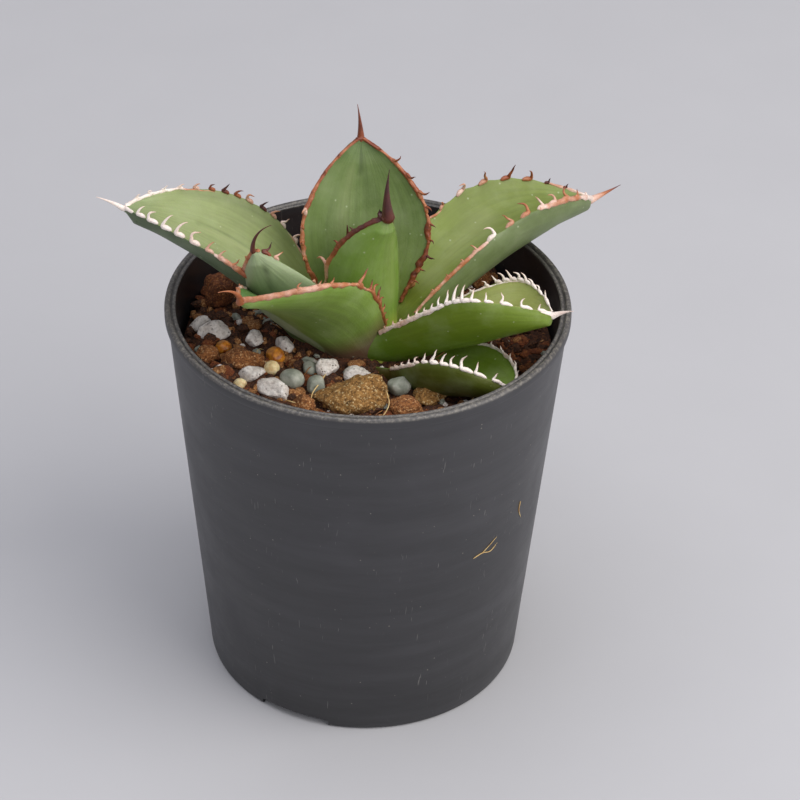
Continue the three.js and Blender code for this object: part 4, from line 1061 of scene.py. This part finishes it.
def nursery_pot():
    top = POT_HEIGHT
    inside = top - 3.2

    def inner(z):
        return outer_radius(z) - WALL

    outline = [
        (33.7, BASE_RAISE), (33.9, 2.2), (34.25, 0.25), (34.5, 0), (35.6, 0), (36.1, 0.15), (36.45, 0.45),
        (outer_radius(1), 1), (outer_radius(2), 2), (outer_radius(20), 20), (outer_radius(45), 45),
        (outer_radius(70), 70), (outer_radius(91.9), 91.9), (outer_radius(92.2), 92.2), (44.9, 92.4),
        (45, 92.65), (45, 93.9), (44.9, 94.3), (44.65, 94.6), (44.35, 94.7), (43.95, 94.68),
        (43.7, 94.5), (43.55, 94.22), (43.4, 94.2), (43.25, 94.42), (43.05, 94.52), (42.75, 94.5),
        (42.55, 94.35), (42.5, 94.1), (42.5, inside + 0.2), (inner(inside - 1), inside - 1),
        (inner(60), 60), (inner(30), 30), (inner(6), 6), (inner(4.6) - 0.6, 4.1), (30, 4), (2, 4),
    ]
    first = outline[0]
    pot = start_from(bpy.ops.mesh.primitive_circle_add, "black_nursery_pot", vertices=POT_SIDES,
                     radius=first[0] * MM, fill_type="NGON", location=(POT_X * MM, 0, first[1] * MM))
    bpy.ops.object.transform_apply(location=True, rotation=True, scale=True)
    bpy.ops.object.mode_set(mode="EDIT")
    bpy.ops.mesh.select_mode(type="EDGE")
    bpy.ops.mesh.select_all(action="SELECT")
    bpy.ops.mesh.region_to_loop()
    last = first
    for radius, z in outline[1:]:
        raise_ring(radius, z, last)
        last = (radius, z)
    bpy.ops.mesh.edge_face_add()
    bpy.ops.mesh.select_all(action="SELECT")
    bpy.ops.mesh.normals_make_consistent(inside=False)
    bpy.ops.object.mode_set(mode="OBJECT")
    cutters = []
    for heading in NOTCH_HEADINGS:
        a = math.radians(heading)
        cutter = start_from(bpy.ops.mesh.primitive_cube_add, "notch", size=1)
        bpy.ops.object.mode_set(mode="EDIT")
        bpy.ops.mesh.bevel(offset=0.12, segments=3, affect="EDGES")
        bpy.ops.object.mode_set(mode="OBJECT")
        x, y = polar(FOOT_RADIUS * MM, a)
        place = Matrix.Translation((POT_X * MM + x, y, 0))
        size = Matrix.Diagonal((12 * MM, NOTCH_WIDTH * MM, 2 * NOTCH_HEIGHT * MM, 1))
        cutter.data.transform(place @ Matrix.Rotation(a, 4, "Z") @ size)
        cutters.append(cutter)
    for x, y in [(0, 0)] + [polar(DRAIN_REACH, math.radians(heading)) for heading in DRAIN_HEADINGS]:
        cutter = start_from(bpy.ops.mesh.primitive_cylinder_add, "drain", vertices=40,
                            radius=DRAIN_RADIUS * MM, depth=9 * MM,
                            location=((x + POT_X) * MM, y * MM, 3 * MM))
        bpy.ops.object.transform_apply(location=True, rotation=True, scale=True)
        cutters.append(cutter)
    for cutter in cutters:
        bpy.context.view_layer.objects.active = pot
        cut = pot.modifiers.new("cut", "BOOLEAN")
        cut.operation = "DIFFERENCE"
        cut.object = cutter
        bpy.ops.object.modifier_apply(modifier="cut")
        bpy.data.objects.remove(cutter)
    bpy.ops.object.select_all(action="DESELECT")
    pot.select_set(True)
    bpy.ops.object.shade_smooth_by_angle(angle=math.radians(32))
    return pot


# The pot
finish_piece(nursery_pot(), moulded_polypropylene(), "pot_plastic", "pot")

# The rosette
horn_red = dry_horn("dry_red_brown_horn", 0.42)
horn_cream = dry_horn("dry_cream_horn", 0.55)
horn_maroon = dry_horn("dry_maroon_horn", 0.36)
HORN_OF = {
    "leaf_front_right": (horn_cream, "horn_cream"),
    "leaf_low_right": (horn_cream, "horn_cream"),
    "leaf_left": (horn_cream, "horn_cream"),
    "leaf_centre": (horn_maroon, "horn_maroon"),
}
for number, (leaf_name, leaf) in enumerate(LEAVES.items()):
    leaf_blade(leaf_name, leaf)
    leaf_horn(leaf_name, leaf, number * 10 + 1, *HORN_OF.get(leaf_name, (horn_red, "horn_brown")))

# The closed bud in the heart, its young spine and the stem
bud_share = np.linspace(0, 1, 24)
bud_path = np.stack([
    BUD["at"][0] + BUD["lean"][0] * bud_share * BUD["height"],
    BUD["at"][1] + BUD["lean"][1] * bud_share * BUD["height"],
    STEM_TOP - 5 + bud_share * BUD["height"],
], -1)
bud_radii = BUD["radius"] * (1 - bud_share ** 1.8 * 0.75)
bud = tube("closed_bud", bud_path, bud_radii, 32, np.array([1, 0.3, 0]), bud_share, flat=0.8)
bud_points = len(bud.data.vertices)
keep_values(bud, place=np.linspace(0.3, 1, bud_points), side=np.zeros(bud_points),
            under=np.zeros(bud_points), shade=np.zeros(bud_points))
bud_skin = agave_skin("agave_skin_of_bud", half_width=3, length=19, foot="9cae4e", low="8fa85a",
                      body="7d9c5c", tip="6f9058", under="7d9c5c", under_foot="8fa85a")
finish_piece(bud, bud_skin, "leaf_flesh", "bud")
spike_share = np.linspace(0, 1, 16)
spike_rise = spike_share * BUD["spine"] + GAP
spike_path = bud_path[-1] + np.stack([-0.4 * spike_share, 0.8 * spike_share, spike_rise], -1)
spike_radii = 0.8 - 0.7 * spike_share ** 0.8
spike = tube("bud_spike", spike_path, spike_radii, 12, np.array([1.0, 0, 0]), np.full(16, 0.8))
finish_piece(spike, horn_maroon, "horn_maroon", "bud_spine")
stem_skin = agave_skin("agave_stem", half_width=6, length=30, foot="8f9a62", low="8f9a62", body="93a065",
                       tip="a3ad75", under="8f9a62", under_foot="8f9a62")
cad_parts["stem"].data.materials[0] = stem_skin

# Stones and beads on the soil
pumice = stony_mix("porous_white_pumice", "b9aea6", "d8d1cb", "ece8e4", 0.6, 0.25, pores=0.75)
STONE_MATERIALS = {
    "pumice": pumice,
    "amber_bead": coated_bead("amber_coated_bead", "8f4f16", "d08a2c", 0.35, 0.2),
    "cream_bead": coated_bead("cream_coated_bead", "c9ac78", "ead9aa", 0.5, 0.1),
    "brown_lump": stony_mix("tan_baked_clay", "4a2812", "7e4c26", "a8713e", 0.5, 0.4, grit="d0a878"),
    "gold_lump": stony_mix("mossy_gold_clay", "432e14", "8a6230", "b48a50", 0.55, 0.5, grit="e0cc9c"),
    "dark_lump": stony_mix("dark_red_clay", "361a0d", "66371c", "905428", 0.5, 0.3, grit="b07a48"),
    "grey_pebble": worn_zeolite(),
}
counts = {}
for index, stone in enumerate(STONES):
    counts[stone[0]] = counts.get(stone[0], 0) + 1
    loose_stone(stone, index, f"{stone[0]}_{counts[stone[0]]}", STONE_MATERIALS[stone[0]])

# The soil and its grains
bark_soil = stony_mix("crumbled_bark_soil", "1c0f09", "3c2114", "643a20", 0.7, 0.5, grit="8a5a34")
finish_piece(soil_body(), bark_soil, "soil_mix", "soil")


def anywhere(x, y, draw):
    return True


def right_side(x, y, draw):
    return draw.random() < (0.95 if x > 12 else 0.45)


def left_side(x, y, draw):
    return draw.random() < (0.9 if x < 2 else 0.25)


dark_bark = stony_mix("dark_damp_bark", "1c100a", "3a2114", "5c341c", 0.4, 0.2, grit="7e5230")
red_bark = stony_mix("red_brown_bark", "3e1a0c", "6a3419", "8c5026", 0.4, 0.2, grit="b07640")
tan_clay = stony_mix("tan_clay_grit", "5e3518", "8a5a30", "b08050", 0.4, 0.2, grit="d8b080")
GRAINS = [
    ("dark_bark_crumbs", 0.6, 1, 620, (1.2, 3.4), 5, anywhere, dark_bark, "soil_mix"),
    ("red_bark_crumbs", 0.4, 2, 480, (1, 3.6), 6, right_side, red_bark, "soil_mix"),
    ("tan_clay_grit", 0.75, 3, 300, (0.9, 3.4), 7, left_side, tan_clay, "brown_lump"),
    ("white_pumice_grit", 0.8, 4, 80, (0.7, 2), 8, left_side, pumice, "pumice"),
    ("grey_grit", 0.8, 5, 70, (1, 3), 9, left_side, STONE_MATERIALS["grey_pebble"], "grey_pebble"),
]
for grain_name, flat, seed, count, sizes, spot_seed, region, material, slot in GRAINS:
    grains = scatter(grain_name, crumb_templates(flat, seed), free_spots(count, sizes, spot_seed, region))
    finish_piece(grains, material, slot)

coir = dry_fibre("coir_thread", "6b3f20", "b07a44")
pale_root = dry_fibre("pale_root_thread", "b08a52", "d9c08a")
draw = random.Random(21)
threads = []
for _ in range(34):
    angle, far = draw.uniform(0, 2 * math.pi), draw.uniform(14, 38)
    length, rise = draw.uniform(4, 10), draw.uniform(0.2, 1.6)
    threads.append(fibre("thread", curly_fibre(draw, *polar(far, angle), length, rise), 0.12))
finish_piece(joined("coir_threads", threads), coir, "soil_mix")
roots = [
    fibre("root", path, radius) for path, radius in (
        ([(-8.7, -18.5, 87.6), (-10, -21.5, 87.2), (-11.4, -24.6, 86.6), (-11.6, -27.8, 85.8)], 0.17),
        ([(4.6, -25.4, 88.4), (5.2, -28.3, 87), (3.8, -30.9, 85.6), (1.2, -32.6, 84.6)], 0.15),
        ([(-17.5, -26, 86), (-13.4, -28.6, 86.2), (-10.2, -31.4, 84.8)], 0.15),
        ([(21, -26, 84.6), (23.4, -23.6, 85.8), (24.4, -21, 86.2), (25.8, -19.6, 85.4)], 0.13),
    )
]
for _ in range(9):
    angle, far = draw.uniform(3.3, 6.1), draw.uniform(20, 36)
    roots.append(fibre("root", curly_fibre(draw, *polar(far, angle), 5, 0.8), 0.09))
finish_piece(joined("pale_roots", roots), pale_root, "soil_mix")


def on_wall(heading, z):
    """Point just outside the pot's wall."""
    return *polar(outer_radius(z) + 0.08, math.radians(heading)), z


stuck = [
    fibre("stuck", [on_wall(heading, z) for heading, z in path], radius) for path, radius in (
        ([(-32.7, 56.8), (-32.8, 54.2), (-30.6, 51)], 0.13),
        ([(-52.9, 48.2), (-49.3, 48.6), (-45.7, 47.8), (-42.7, 49.1)], 0.12),
        ([(-49.5, 48.5), (-46, 50), (-43.4, 51.2)], 0.09),
    )
]
finish_piece(joined("stuck_root_fibres", stuck), pale_root, "pot_plastic")
scrap = [fibre("scrap", [(7.6, 10.4, 92), (8.3, 9, 92.4), (9.6, 8.6, 93.2), (10.3, 9.9, 93.6)], 0.7),
         fibre("scrap", [(8, 7, 91.6), (8.6, 8.4, 92.6), (9.9, 9.4, 93)], 0.55)]
finish_piece(joined("dried_leaf_scrap", scrap), coir, "soil_mix")

# Camera, lights and floor
elevation, roll = math.radians(CAMERA_ELEVATION), math.radians(CAMERA_ROLL)
back = Vector((0, -math.cos(elevation), math.sin(elevation)))
level_right = Vector((1, 0, 0))
level_up = level_right.cross(-back)
right = level_right * math.cos(roll) + level_up * math.sin(roll)
upward = level_up * math.cos(roll) - level_right * math.sin(roll)
camera_data = bpy.data.cameras.new("camera")
camera_data.lens = CAMERA_LENS
camera_data.sensor_width = 36
camera = put_in_scene("camera", camera_data)
turned = Matrix((right, upward, back)).transposed().to_4x4()
spot = (Vector(CAMERA_TARGET) + Vector((POT_X, 0, 0)) + back * CAMERA_DISTANCE) * MM
camera.matrix_world = Matrix.Translation(spot) @ turned
bpy.context.scene.camera = camera


def soft_light(name, place, aim, size, power, tint):
    data = bpy.data.lights.new(name, "AREA")
    data.shape = "DISK"
    data.size = size
    data.energy = power
    data.color = colour(tint)[:3]
    light = put_in_scene(name, data)
    aimed = (Vector(aim) - Vector(place)).to_track_quat("-Z", "Y").to_matrix().to_4x4()
    light.matrix_world = Matrix.Translation(place) @ aimed


soft_light("window_light", (0.95, -0.45, 0.85), (0, 0, 0.07), 1.5, 17.5, "fffaf4")
soft_light("overhead_light", (-0.1, 0.05, 1.3), (0, 0, 0.08), 1.3, 8, "faf9ff")
soft_light("front_fill", (0.15, -1.35, 0.75), (0, -0.1, 0.03), 1.2, 3, "fbfaff")
soft_light("left_reflector", (-0.9, -0.5, 0.45), (0, 0, 0.06), 0.8, 0.9, "f2f4ff")
world = bpy.data.worlds.new("studio")
bpy.context.scene.world = world
world.use_nodes = True
world.node_tree.nodes["Background"].inputs[0].default_value = colour("ecebef")
world.node_tree.nodes["Background"].inputs[1].default_value = 0.42

floor = start_from(bpy.ops.mesh.primitive_plane_add, "floor", size=8)
floor_paper, floor_tree, floor_shader, floor_place = new_material("matt_grey_paper")
paper = ramp(floor_tree, noise_at(floor_tree, 40, floor_place), [(0.3, "b5b6ba"), (0.7, "b7b8bc")])
set_shader(floor_tree, floor_shader, Base_Color=paper, Roughness=0.8)
floor.data.materials.append(floor_paper)
bpy.context.scene.view_settings.view_transform = "Standard"

bpy.context.view_layer.update()
